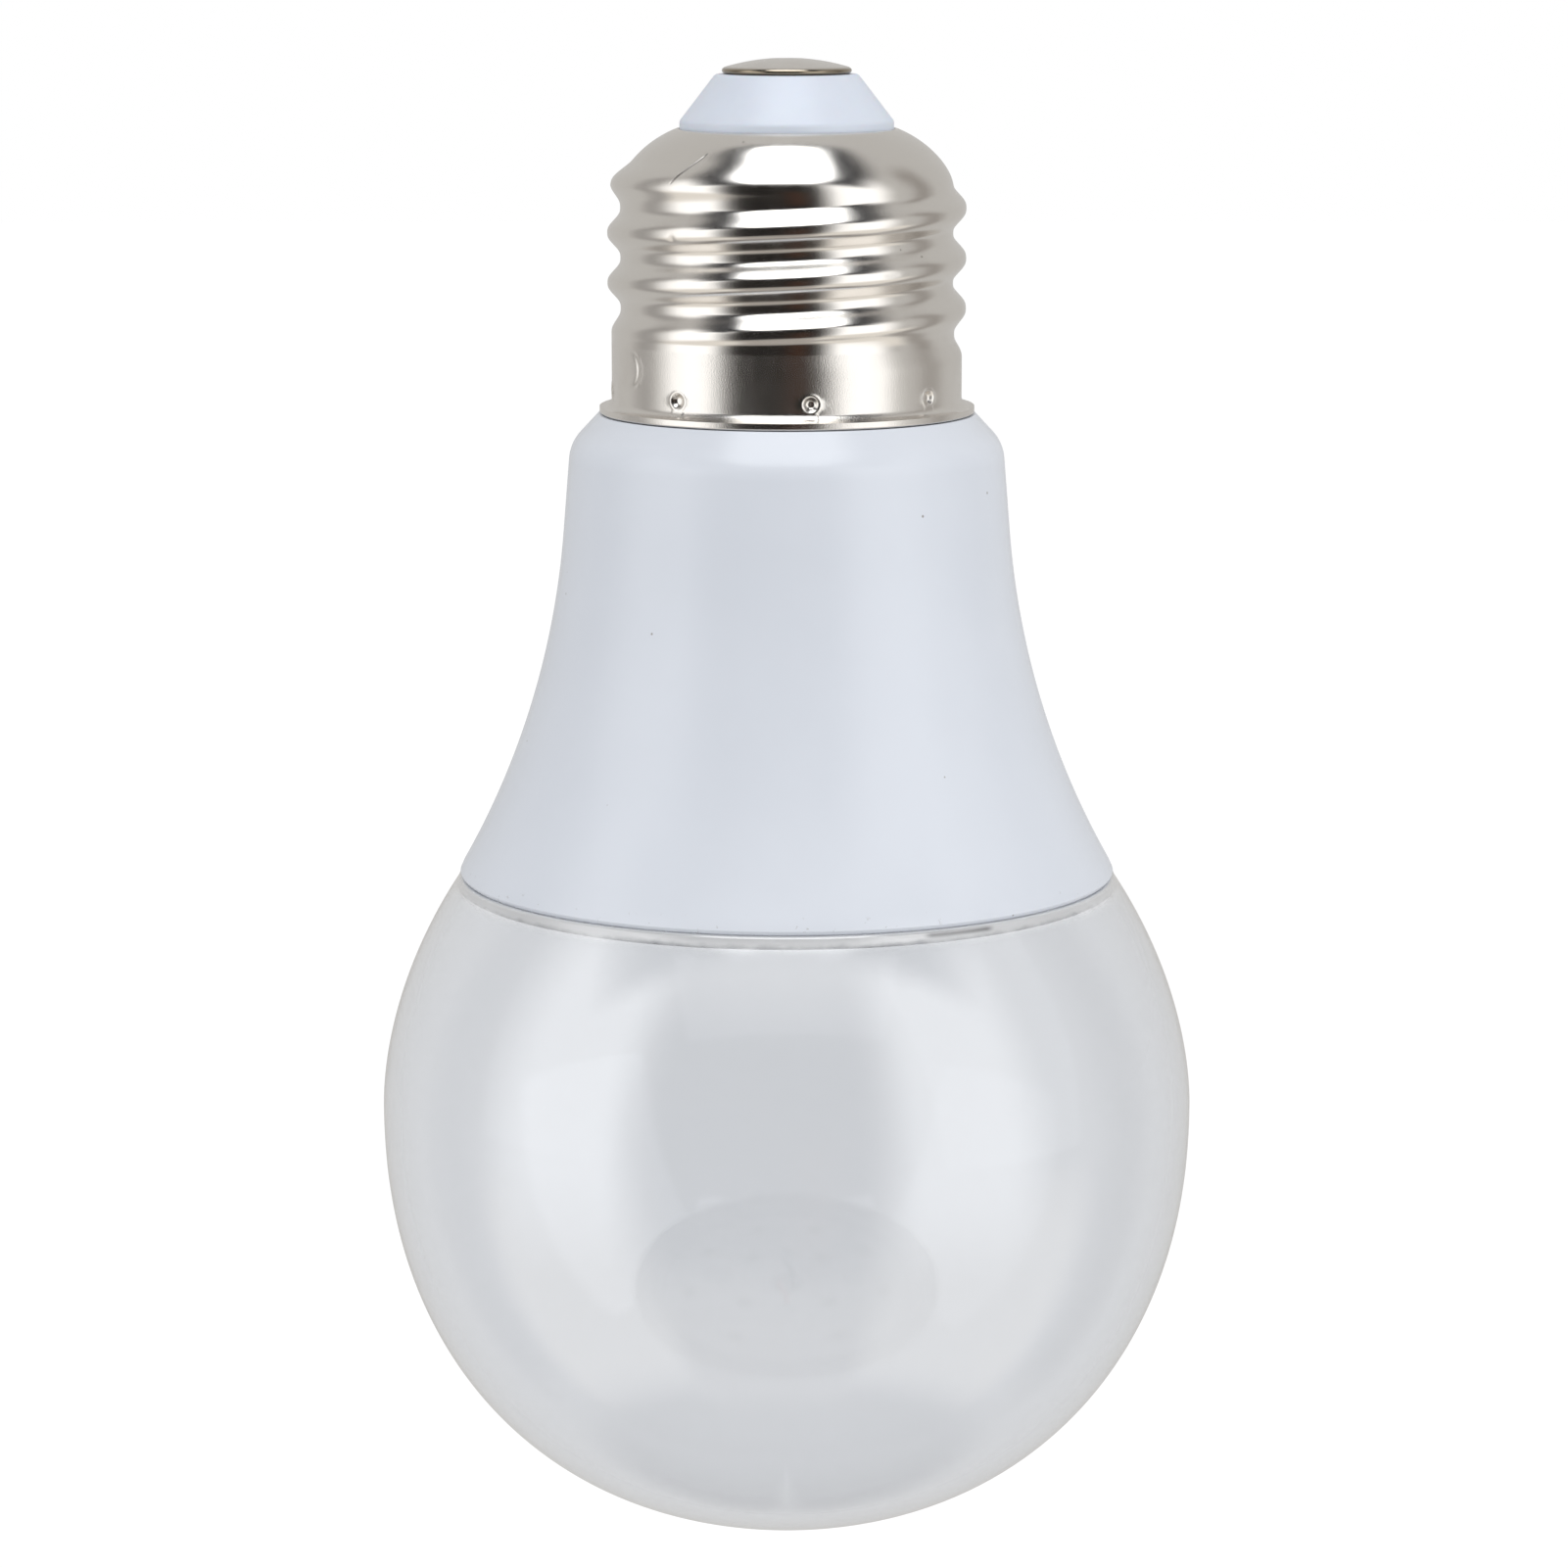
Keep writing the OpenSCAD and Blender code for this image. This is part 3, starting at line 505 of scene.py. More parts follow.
def insulator_plastic():
    m = Finish("insulator_plastic", (0.69, 0.74, 0.83), Roughness=0.38,
               Subsurface_Weight=0.12, Subsurface_Scale=0.002)
    shade = m.remap(m.noise(2.5, 4.0), 0.3, 0.7)
    m.feed("Base Color", m.mix(shade, (0.66, 0.71, 0.80), (0.675, 0.725, 0.815)))
    m.feed("Roughness", m.remap(m.noise(0.8), 0.3, 0.7, 0.34, 0.44))
    m.feed("Normal", m.bump(m.noise(0.35, 2.0), 0.004, 0.4))
    return m.material


def housing_plastic():
    """Glossy white mouldings with a faint ripple, a few specks, and glue dirt at the seam."""
    m = Finish("housing_plastic", (0.70, 0.735, 0.80), Roughness=0.24, IOR=1.5)
    shade = m.remap(m.noise(9.0, 4.0), 0.3, 0.7)
    body = m.mix(shade, (0.695, 0.73, 0.795), (0.71, 0.745, 0.81))
    dots = m.math("MAXIMUM", m.specks(1.6, 0.13, 0.10), m.spot(on_axis(*HOUSING_SPECK), 0.3))
    near_seam = m.remap(m.height(), (seam_z + 0.4) * MM, (seam_z + 1.6) * MM, 1.0, 0.0)
    dirt = m.math("MULTIPLY", m.remap(m.noise(0.5, 3.0, 0.6), 0.66, 0.74), near_seam)
    m.feed("Base Color", m.mix(m.math("MAXIMUM", dots, m.math("MULTIPLY", dirt, 0.6)), body,
                               (0.34, 0.33, 0.32)))
    m.feed("Roughness", m.remap(m.noise(3.0), 0.3, 0.7, 0.20, 0.25))
    m.feed("Normal", m.bump(m.noise(1.6, 2.0), 0.0015, 0.5))
    return m.material


def clear_plastic():
    """Clear blown plastic, a little wavy, with a grey tint of painted shade at its outer skin, and glue
    at the seam.
    """
    # Painted shade: the grey tint darkens whatever shows through the clear globe, standing in for darker
    # surroundings.
    painted_shade_tint = (0.66, 0.68, 0.715)
    m = Finish("clear_plastic", painted_shade_tint, Roughness=0.02, IOR=1.45, Transmission_Weight=1.0,
               Coat_Weight=1.0, Coat_Roughness=0.02, Coat_IOR=1.9)
    skin = m.node("ShaderNodeNewGeometry").outputs
    from_centre = m.vector("SUBTRACT", m.place, (0, 0, equator_z * MM))
    outward = m.vector("DOT_PRODUCT", skin["True Normal"], from_centre, "Value")
    outward = m.math("GREATER_THAN", outward, 0.0)
    outer = m.math("ABSOLUTE", m.math("SUBTRACT", outward, skin["Backfacing"]))
    m.feed("Coat Weight", m.math("MULTIPLY", outer, m.math("SUBTRACT", 1.0, skin["Backfacing"])))
    smudge = m.remap(m.noise(7.0, 5.0, 0.6), 0.5, 0.8)
    m.feed("Roughness", m.math("MULTIPLY_ADD", smudge, 0.05, 0.012))
    specks = m.specks(5.0, 0.12, 0.12)
    for turn, z, radius, size in GLOBE_SPECKS:
        specks = m.math("MAXIMUM", specks, m.spot(on_axis(turn, z, radius), size))
    body = m.mix(specks, m.mix(outer, (1.0, 1.0, 1.0), painted_shade_tint), (0.40, 0.40, 0.40))
    ragged = m.math("MULTIPLY_ADD", m.noise(1.4, 4.0), GLUE_RAGGED * MM, m.height())
    glue = m.remap(ragged, *((seam_z - drop) * MM for drop in GLUE_FADE))
    ends = (on_axis(turn, seam_z - STREAK_DROP, STREAK_R) for turn in STREAK)
    streak = m.scratch(*ends, STREAK_W)
    m.feed("Transmission Weight", m.math("MULTIPLY_ADD", glue, -0.65, 1.0))
    m.feed("Base Color", m.mix(glue, body, m.mix(streak, (0.86, 0.87, 0.89), (0.26, 0.26, 0.27))))
    m.feed("Normal", m.bump(m.noise(18.0, 1.0), 0.008, 0.5))
    return m.material


def plain(name, colour, other, size, roughness, metallic=0.0, depth=0.004, **sockets):
    """A material whose colour and roughness wander a little."""
    m = Finish(name, colour, Metallic=metallic, **sockets)
    m.feed("Base Color", m.mix(m.remap(m.noise(size, 4.0), 0.3, 0.7), colour, other))
    m.feed("Roughness", m.remap(m.noise(size * 0.6, 3.0), 0.3, 0.7, roughness * 0.9,
                                roughness * 1.12))
    m.feed("Normal", m.bump(m.noise(size * 0.3, 2.0), depth, 0.5))
    return m.material


def brushed(name, colour, other, roughness):
    """Turned or drawn metal with fine rings round the axis."""
    m = Finish(name, colour, Metallic=1.0)
    rings = m.noise(0.5, 3.0, 0.6, (0.15, 0.15, 3.0))
    m.feed("Base Color", m.mix(m.remap(rings, 0.3, 0.7), colour, other))
    m.feed("Roughness", m.remap(rings, 0.3, 0.7, roughness * 0.9, roughness * 1.12))
    m.feed("Normal", m.bump(rings, 0.01, 0.4))
    return m.material


def make_materials():
    return {
        "shell": shell_nickel(),
        "contact": contact_nickel(),
        "insulator": insulator_plastic(),
        "housing": housing_plastic(),
        "clear": clear_plastic(),
        "aluminium": brushed("aluminium", (0.62, 0.62, 0.63), (0.74, 0.74, 0.75), 0.34),
        "pad": plain("thermal_pad", (0.55, 0.60, 0.66), (0.60, 0.65, 0.70), 0.6, 0.7),
        "mask": plain("board_mask", (0.80, 0.80, 0.78), (0.84, 0.84, 0.82), 1.2, 0.32),
        "green": plain("board_green", (0.03, 0.16, 0.07), (0.05, 0.21, 0.10), 1.0, 0.35),
        "ceramic": plain("led_body", (0.78, 0.76, 0.68), (0.82, 0.80, 0.72), 0.4, 0.42),
        "silver": plain("led_frame", (0.80, 0.79, 0.76), (0.86, 0.85, 0.82), 0.3, 0.22, 1.0),
        "die": plain("led_die", (0.05, 0.06, 0.16), (0.08, 0.09, 0.24), 0.1, 0.15, 0.4),
        "gold": plain("led_wire", (0.83, 0.60, 0.25), (0.88, 0.66, 0.30), 0.1, 0.2, 1.0),
        "gel": plain("led_gel", (0.97, 0.96, 0.90), (0.98, 0.97, 0.92), 0.8, 0.06, 0.0, 0.001,
                     Transmission_Weight=1.0, IOR=1.41),
        "solder": plain("solder", (0.60, 0.61, 0.63), (0.72, 0.73, 0.75), 0.5, 0.24, 1.0, 0.02),
        "steel": brushed("screw_steel", (0.50, 0.50, 0.51), (0.62, 0.62, 0.63), 0.3),
        "red": plain("lead_red", (0.48, 0.02, 0.02), (0.55, 0.03, 0.03), 0.6, 0.35),
        "black": plain("lead_black", (0.02, 0.02, 0.022), (0.035, 0.035, 0.037), 0.6, 0.35),
        "brown": plain("lead_brown", (0.16, 0.06, 0.025), (0.20, 0.08, 0.03), 0.6, 0.35),
        "blue": plain("lead_blue", (0.02, 0.08, 0.35), (0.03, 0.11, 0.42), 0.6, 0.35),
        "lacquer": plain("resistor_lacquer", (0.12, 0.26, 0.34), (0.15, 0.31, 0.40), 0.5, 0.4),
        "resin": plain("chip_resin", (0.022, 0.022, 0.024), (0.035, 0.035, 0.037), 0.15, 0.6),
        "sleeve": plain("capacitor_sleeve", (0.02, 0.025, 0.10), (0.03, 0.035, 0.13), 1.0, 0.3),
        "ferrite": plain("ferrite", (0.05, 0.045, 0.045), (0.08, 0.07, 0.07), 0.2, 0.65),
        "tape": plain("winding_tape", (0.50, 0.36, 0.06), (0.56, 0.41, 0.08), 1.2, 0.3),
        "silicone": plain("sealant", (0.80, 0.81, 0.82), (0.86, 0.87, 0.88), 0.8, 0.45),
    }


# CAP
def contact_outline():
    reach = pin_high.x - CONTACT_RIM / 2
    rise = -insulator_z - CONTACT_RIM
    dome_r = (reach ** 2 + rise ** 2) / (2 * rise)
    flat = math.asin(TIP_FLAT_D / 2 / dome_r)
    edge = math.asin(reach / dome_r)
    drop = dome_r * math.cos(flat)
    angles = [flat + (edge - flat) * i / 24 for i in range(25)]
    crown = [(dome_r * math.sin(a), dome_r * math.cos(a) - drop) for a in angles]
    rim = arc((reach, insulator_z + CONTACT_RIM / 2), CONTACT_RIM / 2, CONTACT_RIM / 2, 60, -90, 14)
    end_z = pin_low.z
    return ([(0, 0), (TIP_FLAT_D / 4, 0)] + crown + rim
            + [(PIN_D / 2, insulator_z), (PIN_D / 2, end_z + PIN_CHAMFER),
               (PIN_D / 2 - PIN_CHAMFER, end_z), (0, end_z)])


def dome_inside(r):
    """Height of the dome's inside at a radius."""
    share = ((r - crown_r) / (DOME_ROUND - SHEET_T)) ** DOME_FULLNESS
    return root_z + (dome_half - SHEET_T) * (1 - share) ** (1 / DOME_FULLNESS)


def insulator_outline():
    lip_r = OPENING_R - SEAT_GAP
    top_z = insulator_high.z
    flange_r = insulator_high.x
    shoulder = (INSULATOR_TOP_D / 2 - INSULATOR_ROUND, top_z - INSULATOR_ROUND)
    edge = arc(shoulder, INSULATOR_ROUND, INSULATOR_ROUND, 90, EDGE_END, 12)
    lip = (lip_r - LIP_ROUND, opening_z + INSULATOR_LIP)
    corner = arc(lip, LIP_ROUND, LIP_ROUND, CONE_TILT, 0, 12)
    cone = line(edge[-1], corner[0], 20)
    steps = [lip_r + (flange_r - lip_r) * i / 8 for i in range(9)]
    flange = [(r, dome_inside(r) - SEAT_GAP) for r in steps]
    low = flange[-1][1] - FLANGE_T
    bore_r = PIN_D / 2 + SEAT_GAP
    return ([(bore_r, top_z)] + edge + cone[1:] + corner + flange
            + [(flange_r, low), (POCKET_D / 2, low), (POCKET_D / 2, opening_z - POCKET_DROP),
               (bore_r, opening_z - POCKET_DROP)])


# SCREW SHELL
def above(x, ease):
    """x where it is over 0 and 0 elsewhere, with the corner eased."""
    return 0.5 * (x + np.sqrt(x * x + ease * ease))


def thread_profile(share):
    """Height from root to crest, 0 to 1, at a share of the pitch from the crest."""
    raw = CREST_FULLNESS + FLANK_STEEPNESS * np.cos(2 * np.pi * share)
    root = above(CREST_FULLNESS - FLANK_STEEPNESS, PROFILE_EASE)
    return 1 - above(1 - above(raw, PROFILE_EASE) + root, PROFILE_EASE)


def thread(z, a):
    """Height of the rolled thread above its root. It rises to the right, as the real one does."""
    phase = (z - opening_z + CREST_DROP) / THREAD_PITCH - a / (2 * np.pi)
    share = phase - np.round(phase)
    crest_z = z - share * THREAD_PITCH
    # Along its helix the crest grows out of the dome and sinks into the skirt
    level = (THREAD_DEPTH * fade(*CREST_START, crest_z)
             - (THREAD_R - SKIRT_R) * fade(*CREST_END, crest_z))
    base = thread_profile(0.5)
    height = level * (thread_profile(share) - base) / (thread_profile(0.0) - base)
    # The last groove fills up beside it, to the skirt's level
    under = fade(CREST_BLEND, -CREST_BLEND, share)
    filled = (fade(*GROOVE_END, crest_z + THREAD_PITCH / 2) * (1 - under)
              + fade(*GROOVE_END, crest_z - THREAD_PITCH / 2) * under)
    ease = SKIRT_EASE * (1 - fade(*CREST_END, crest_z))
    return height + filled * above(SKIRT_R - root_r - height, ease)


def turn_from(a, degrees):
    """Turn of angle a from a place given in degrees from the front, within half a turn."""
    off = a - math.radians(degrees - 90)
    return off - 2 * np.pi * np.round(off / (2 * np.pi))


def marks(z, a):
    """Height of the shell's marks: crimps, the dent and the nicks."""
    total = np.zeros_like(a)
    for k in range(CRIMPS):
        across = SKIRT_R * turn_from(a, CRIMP_TURN + 360 / CRIMPS * k)
        off = np.hypot(across, z - crimp_z) / (CRIMP_D / 2)
        total -= CRIMP_DEPTH * fade(0.95, 0.35, off)
        total += CRIMP_LIP * np.exp(-((off - 1.08) / 0.16) ** 2)
    across = SKIRT_R * turn_from(a, DENT["turn"]) + DENT["radius"]
    off = np.hypot(across, z - DENT["z"]) - DENT["radius"]
    reach = fade(DENT["half"] * 1.15, DENT["half"] * 0.7, np.abs(z - DENT["z"])) * (across > 0)
    total -= DENT["depth"] * reach * np.exp(-(off / DENT["width"]) ** 2)
    total += 0.5 * DENT["depth"] * reach * np.exp(-((off - 0.32) / DENT["width"]) ** 2)
    for turn, height, size in NICKS:
        off = np.hypot(root_r * turn_from(a, turn), (z - height) * 1.3) / size
        total -= NICK_DEPTH * np.exp(-off ** 2 * 2)
    return total


def shell_columns():
    """Angles of the shell's columns, closer together at its marks."""
    wanted = [math.radians(2.5) * c for c in range(144)]
    for k in range(CRIMPS):
        middle = CRIMP_TURN + 360 / CRIMPS * k - 90
        wanted += [math.radians(middle + 0.42 * i) for i in range(-8, 9)]
    wanted += [math.radians(DENT["turn"] - 90 + 0.45 * i) for i in range(-9, 6)]
    wanted = sorted(a % (2 * math.pi) for a in wanted)
    kept = [wanted[0]]
    for a in wanted[1:]:
        if a - kept[-1] > math.radians(0.3):
            kept.append(a)
    return np.array(kept)


def face_rings(s, rows, columns):
    """Rings of one face of the sheet, sunk by s, from the opening to the rim."""
    def stamped(z):
        """Height of the marks, which only the outside has."""
        return marks(z, columns) if s == 0 else 0

    turn_rows, skirt_rows = rows
    start = math.asin(((OPENING_R - crown_r) / (DOME_ROUND - s)) ** (DOME_FULLNESS / 2))
    rings = []
    for i in range(turn_rows):
        t = start + (math.pi / 2 - start) * i / turn_rows
        z = root_z + (dome_half - s) * math.cos(t) ** (2 / DOME_FULLNESS)
        radius = crown_r + (DOME_ROUND - s) * math.sin(t) ** (2 / DOME_FULLNESS)
        rings.append((radius + thread(z, columns) + stamped(z), z))
    thread_rows = math.ceil((root_z - plain_z) * turn_rows / THREAD_PITCH)
    for z in np.linspace(root_z, plain_z, thread_rows + 1):
        rings.append((root_r + thread(z, columns) - s + stamped(z), z))
    for z in np.linspace(plain_z, flare_z, skirt_rows + 1)[1:]:
        rings.append((SKIRT_R - s + stamped(z), z))
    # The flare strays a little from a circle, and stands out where a crimp's lip meets it
    lip = CRIMP_LIP * 0.6 * (marks(crimp_z - CRIMP_D / 2, columns) > 0.01)
    reach = rim_r - RIM_SLACK
    for t in np.radians(np.linspace(0, 90, 13))[1:]:
        z = flare_z - (FLARE_H + s) * math.sin(t)
        radius = reach - s - (reach - SKIRT_R) * math.cos(t)
        rings.append((radius + rim_stray(columns) * math.sin(t) + lip * math.cos(t), z))
    return rings


def rim_stray(a):
    return RIM_WAVE * np.sin(3 * a + 0.6) + RIM_RIPPLE * np.sin(11 * a) * np.sin(4 * a)


def screw_shell(finish):
    columns = shell_columns()
    outside = face_rings(0.0, OUTSIDE_ROWS, columns)
    inside = face_rings(SHEET_T, INSIDE_ROWS, columns)
    half = SHEET_T / 2
    top_z = outside[0][1]
    opening = [(OPENING_R + half * (1 - math.cos(t)) * OPENING_BULGE + thread(top_z, columns),
                top_z - half + half * math.sin(t)) for t in np.radians([-60, -30, 0, 30])]
    middle = rim_r - RIM_SLACK - half + rim_stray(columns)
    edge = [(middle + half * math.cos(t), rim_z + half - half * math.sin(t))
            for t in np.radians(np.linspace(0, 180, 11))]
    points, numbers = [], []
    for radius, z in opening + outside[1:] + edge + inside[::-1][:-1]:
        radius = np.broadcast_to(radius, columns.shape)
        numbers.append(list(range(len(points), len(points) + len(columns))))
        points += [(r * math.cos(a), r * math.sin(a), z) for r, a in zip(radius, columns)]
    obj = make_object("screw_shell_sheet", points, loft(numbers, closed=True), [finish], sharp=60)
    place(obj, "nickel", "screw_shell")


# HOUSING
taper_end = (SHOULDER_R + TAPER_H * math.tan(TAPER), taper_z)
flare_run = (mouth_r - taper_end[0], seam_z + MOUTH_ROUND - taper_z)
flare_r = (flare_run[0] ** 2 + flare_run[1] ** 2) / (
    2 * (flare_run[0] * math.cos(TAPER) + flare_run[1] * math.sin(TAPER)))
flare_centre = (taper_end[0] + flare_r * math.cos(TAPER), taper_z + flare_r * math.sin(TAPER))


def bell(z):
    """Radius of the housing's outside below its shoulder."""
    if z > taper_z:
        return SHOULDER_R + (shoulder_z - z) * math.tan(TAPER)
    return flare_centre[0] - math.sqrt(flare_r ** 2 - (z - flare_centre[1]) ** 2)


def housing_outline():
    seat_r = rim_r + SEAT_GAP
    across = SHOULDER_R - seat_r
    slope = math.hypot(across, SHOULDER_H)
    slope_end = (SHOULDER_R - SHOULDER_ROUND * across / slope,
                 shoulder_z + SHOULDER_ROUND * SHOULDER_H / slope)
    side_end = (bell(shoulder_z - SHOULDER_ROUND), shoulder_z - SHOULDER_ROUND)
    rounded = []
    for i in range(17):
        t = i / 16
        rounded.append(tuple((1 - t) ** 2 * p + 2 * t * (1 - t) * q + t * t * r
                             for p, q, r in zip(slope_end, (SHOULDER_R, shoulder_z), side_end)))
    low = seam_z + MOUTH_ROUND
    steps = 70
    side = [(bell(z), z) for z in (side_end[1] + (low - side_end[1]) * i / steps
                                   for i in range(1, steps))]
    mouth = arc((mouth_r - MOUTH_ROUND, low), MOUTH_ROUND, MOUTH_ROUND, -12, -90, 14)
    bore_top = shoulder_z - 1
    bore = [(bell(z) - HOUSING_T, z) for z in (seam_z + (bore_top - seam_z) * i / 40
                                               for i in range(41))]
    inner_z = seat_z - HOUSING_T
    return ([(neck_bore_r, neck_z), (neck_r, neck_z), (neck_r, neck_z - GROOVE_H),
             (neck_r, seat_z + COLLAR_H),
             (collar_r, seat_z + COLLAR_H - COLLAR_CHAMFER), (collar_r, seat_z), (seat_r, seat_z)]
            + line((seat_r, seat_z), slope_end, 6)[1:] + rounded + side + mouth + bore
            + [(seat_r - HOUSING_T, inner_z), (neck_bore_r, inner_z)])


def housing(finish):
    parts = Parts()
    points, faces = revolve(housing_outline())
    # The groove at the top of the neck, through which the neutral lead leaves
    share = (neck_r - GROOVE_DEPTH) / neck_r
    for ring in range(1, 3):
        for c in range(-2, 3):
            number = ring * ROUND + c % ROUND
            x, y, z = points[number]
            points[number] = (x * share, y * share, z)
    parts.add((points, faces))
    reach = neck_bore_r + NECK_T / 2
    tip = DRIVER_W / 2 - 1
    gap = DRIVER_T / 2 + FIT_GAP
    top = neck_z - 1.5
    for side in (-1, 1):
        for row in (-1, 1):
            near, far = sorted((side * tip, side * reach * 0.97))
            low, high = sorted((row * gap - DRIVER_OFFSET, row * (gap + RIB_T) - DRIVER_OFFSET))
            parts.add(box_part((near, low, top - RIB_H), (far, high, top)))
    obj = make_object("housing_moulding", parts.points, parts.faces, [finish])
    place(obj, "housing_plastic", "housing")


# GLOBE
def oval(r, b, n, h):
    """Radius of an oval at a height h from its middle, from its radius, half height and fullness."""
    return r * max(0.0, 1 - min(1.0, abs(h) / b) ** n) ** (1 / n)


def globe_side(height, sink, upper_half, lower_half):
    """Outline of the globe's wall, sunk by sink, from a height over the equator to the bottom."""
    rises = [height * (1 - i / UPPER_ROWS) for i in range(UPPER_ROWS)]
    drops = [(lower_half - sink) * math.sin(math.pi / 2 * i / LOWER_ROWS) for i in range(LOWER_ROWS)]
    return ([(oval(globe_r - sink, upper_half - sink, UPPER_FULLNESS, rise), equator_z + rise)
             for rise in rises]
            + [(oval(globe_r - sink, lower_half - sink, LOWER_FULLNESS, drop), equator_z - drop)
               for drop in drops]
            + [(0, equator_z - lower_half + sink)])


def globe(finish):
    seam_r = mouth_r - SEAT_GAP
    upper_half = EQUATOR_DROP / (1 - (seam_r / globe_r) ** UPPER_FULLNESS) ** (1 / UPPER_FULLNESS)
    lower_half = equator_z - globe_bottom
    neck_out = bell(globe_top) - HOUSING_T - NECK_GAP
    neck_in = neck_out - GLOBE_T
    edge_r = oval(globe_r, upper_half, UPPER_FULLNESS, EQUATOR_DROP - GLOBE_ROUND)
    outer = globe_side(EQUATOR_DROP - GLOBE_ROUND, 0, upper_half, lower_half)
    inner = globe_side(EQUATOR_DROP - GLOBE_T, GLOBE_T, upper_half, lower_half)
    outline = ([(neck_in, globe_top)]
               + arc((neck_out - NECK_ROUND, globe_top - NECK_ROUND), NECK_ROUND, NECK_ROUND, 90, 0, 6)
               + [(neck_out, seam_z + NECK_FILLET)]
               + arc((neck_out + NECK_FILLET, seam_z + NECK_FILLET), NECK_FILLET, NECK_FILLET,
                     180, 270, 4)
               + arc((edge_r - GLOBE_ROUND, seam_z - GLOBE_ROUND), GLOBE_ROUND, GLOBE_ROUND,
                     90, 25, 8)
               + outer + inner[::-1]
               + arc((neck_in + INNER_FILLET, seam_z - GLOBE_T + INNER_FILLET), INNER_FILLET,
                     INNER_FILLET, 250, 180, 5))
    points, faces = revolve(outline)
    obj = make_object("globe_shell", points, faces, [finish], sharp=50)
    obj.visible_shadow = False
    place(obj, "clear_plastic", "globe")


# LEDS
LED_SIDES = 72
LED_ANGLES = [2 * math.pi * (i + 0.5) / LED_SIDES for i in range(LED_SIDES)]


def led_edge(angle, half, notch):
    """Distance from an LED's middle to its edge, along an angle in its own frame."""
    c, s = math.cos(angle), math.sin(angle)
    reach = half / max(abs(c), abs(s))
    if c > 0 > s:
        reach = min(reach, (2 * half - notch) / (c - s))
    return reach


def led_ring(half, depth):
    """Outline of an LED's body at a depth below the board."""
    reaches = [led_edge(a, half, LED_NOTCH) for a in LED_ANGLES]
    return [(r * math.cos(a), r * math.sin(a), depth) for r, a in zip(reaches, LED_ANGLES)]


def round_ring(radius, depth):
    return [(radius * math.cos(a), radius * math.sin(a), depth) for a in LED_ANGLES]


def capped(rings):
    """A closed shape through rings of points, with a fan over each end."""
    points, numbers = [], []
    for ring in rings:
        numbers.append(list(range(len(points), len(points) + len(ring))))
        points += ring
    faces = loft(numbers)
    for ring in (numbers[0], numbers[-1]):
        middle = tuple(sum(points[i][k] for i in ring) / len(ring) for k in range(3))
        points.append(middle)
        faces += [(ring[i], ring[(i + 1) % len(ring)], len(points) - 1) for i in range(len(ring))]
    return points, faces


def bond_wire(start, end, rise):
    """A fine wire that arches between two points."""
    rings = []
    for i in range(13):
        t = i / 12
        x = start[0] + (end[0] - start[0]) * t
        y = start[1] + (end[1] - start[1]) * t
        depth = start[2] + (end[2] - start[2]) * t + rise * math.sin(math.pi * t)
        across = math.atan2(end[1] - start[1], end[0] - start[0]) + math.pi / 2
        rings.append([(x + BOND_R * math.cos(b) * math.cos(across),
                       y + BOND_R * math.cos(b) * math.sin(across),
                       depth + BOND_R * math.sin(b))
                      for b in (2 * math.pi * k / 8 for k in range(8))])
    return capped(rings)


def led_parts():
    """An LED in its own frame: depth runs away from the board, in millimetres."""
    half = LED_W / 2
    cup = LED_H - LED_CUP
    plate = cup + LED_PLATE_T
    die = plate + DIE_T
    ball = die + BALL_T
    parts = Parts()
    body = capped([led_ring(half, 0.0), led_ring(half, LED_H - LED_BEVEL),
                   led_ring(half - 0.05, LED_H), round_ring(WINDOW_R, LED_H),
                   round_ring(WINDOW_R - 0.15, LED_H - 0.16), round_ring(WINDOW_R - 0.3, cup)])
    parts.add(body, 0)
    for low, high in ((-0.86, -0.2), (-0.12, 0.86)):
        parts.add(box_part((-0.6, low * 0.85, cup - 0.01), (0.6, high * 0.85, plate)), 1)
    parts.add(box_part((-0.4, 0.0, plate), (0.4, 0.62, die)), 2)
    for x in (-0.24, 0.24):
        parts.add(capped([[(x + BALL_R * math.cos(a), 0.3 + BALL_R * math.sin(a), depth)
                           for a in (2 * math.pi * k / 16 for k in range(16))]
                          for depth in (die, ball)]), 3)
    parts.add(bond_wire((-0.24, 0.3, ball), (-0.3, -0.45, plate), 0.12), 3)
    parts.add(bond_wire((0.24, 0.3, ball), (0.5, -0.02, plate), 0.1), 3)
    for side in (-1, 1):
        low, high = sorted((side * (half - 0.02), side * (half + 0.14)))
        parts.add(box_part((-1.0, low, 0.0), (1.0, high, 0.16)), 1)
        toe = side * (half + 0.42)
        near = side * (half + 0.1)
        fillet = [[(x, near, 0.0), (x, near, 0.24), (x, (near + toe) / 2, 0.07), (x, toe, 0.0)]
                  for x in (-1.05, -0.95, 0.95, 1.05)]
        parts.add(capped(fillet), 4)
    return parts


def gel_parts():
    """Clear filling of an LED's cup."""
    return capped([round_ring(WINDOW_R - 0.32, LED_H - 0.4), round_ring(WINDOW_R - 0.17, LED_H - 0.17),
                   round_ring(WINDOW_R - 0.03, LED_H - 0.03), round_ring(WINDOW_R * 0.6, LED_H - 0.045)])


def led_place(number):
    """Turn in radians and distance from the axis of an LED, numbered from 1."""
    if number <= OUTER_LEDS:
        return 2 * math.pi * (number - 0.5) / OUTER_LEDS, OUTER_RING_R
    return 2 * math.pi * (number - OUTER_LEDS - 0.5) / INNER_LEDS, INNER_RING_R


def seat_led(point, number):
    """Moves a point of an LED from its own frame to its place under the board."""
    turn, radius = led_place(number)
    x, y = point[0] + radius, point[1]
    return (x * math.cos(turn) - y * math.sin(turn), x * math.sin(turn) + y * math.cos(turn),
            led_z - point[2])


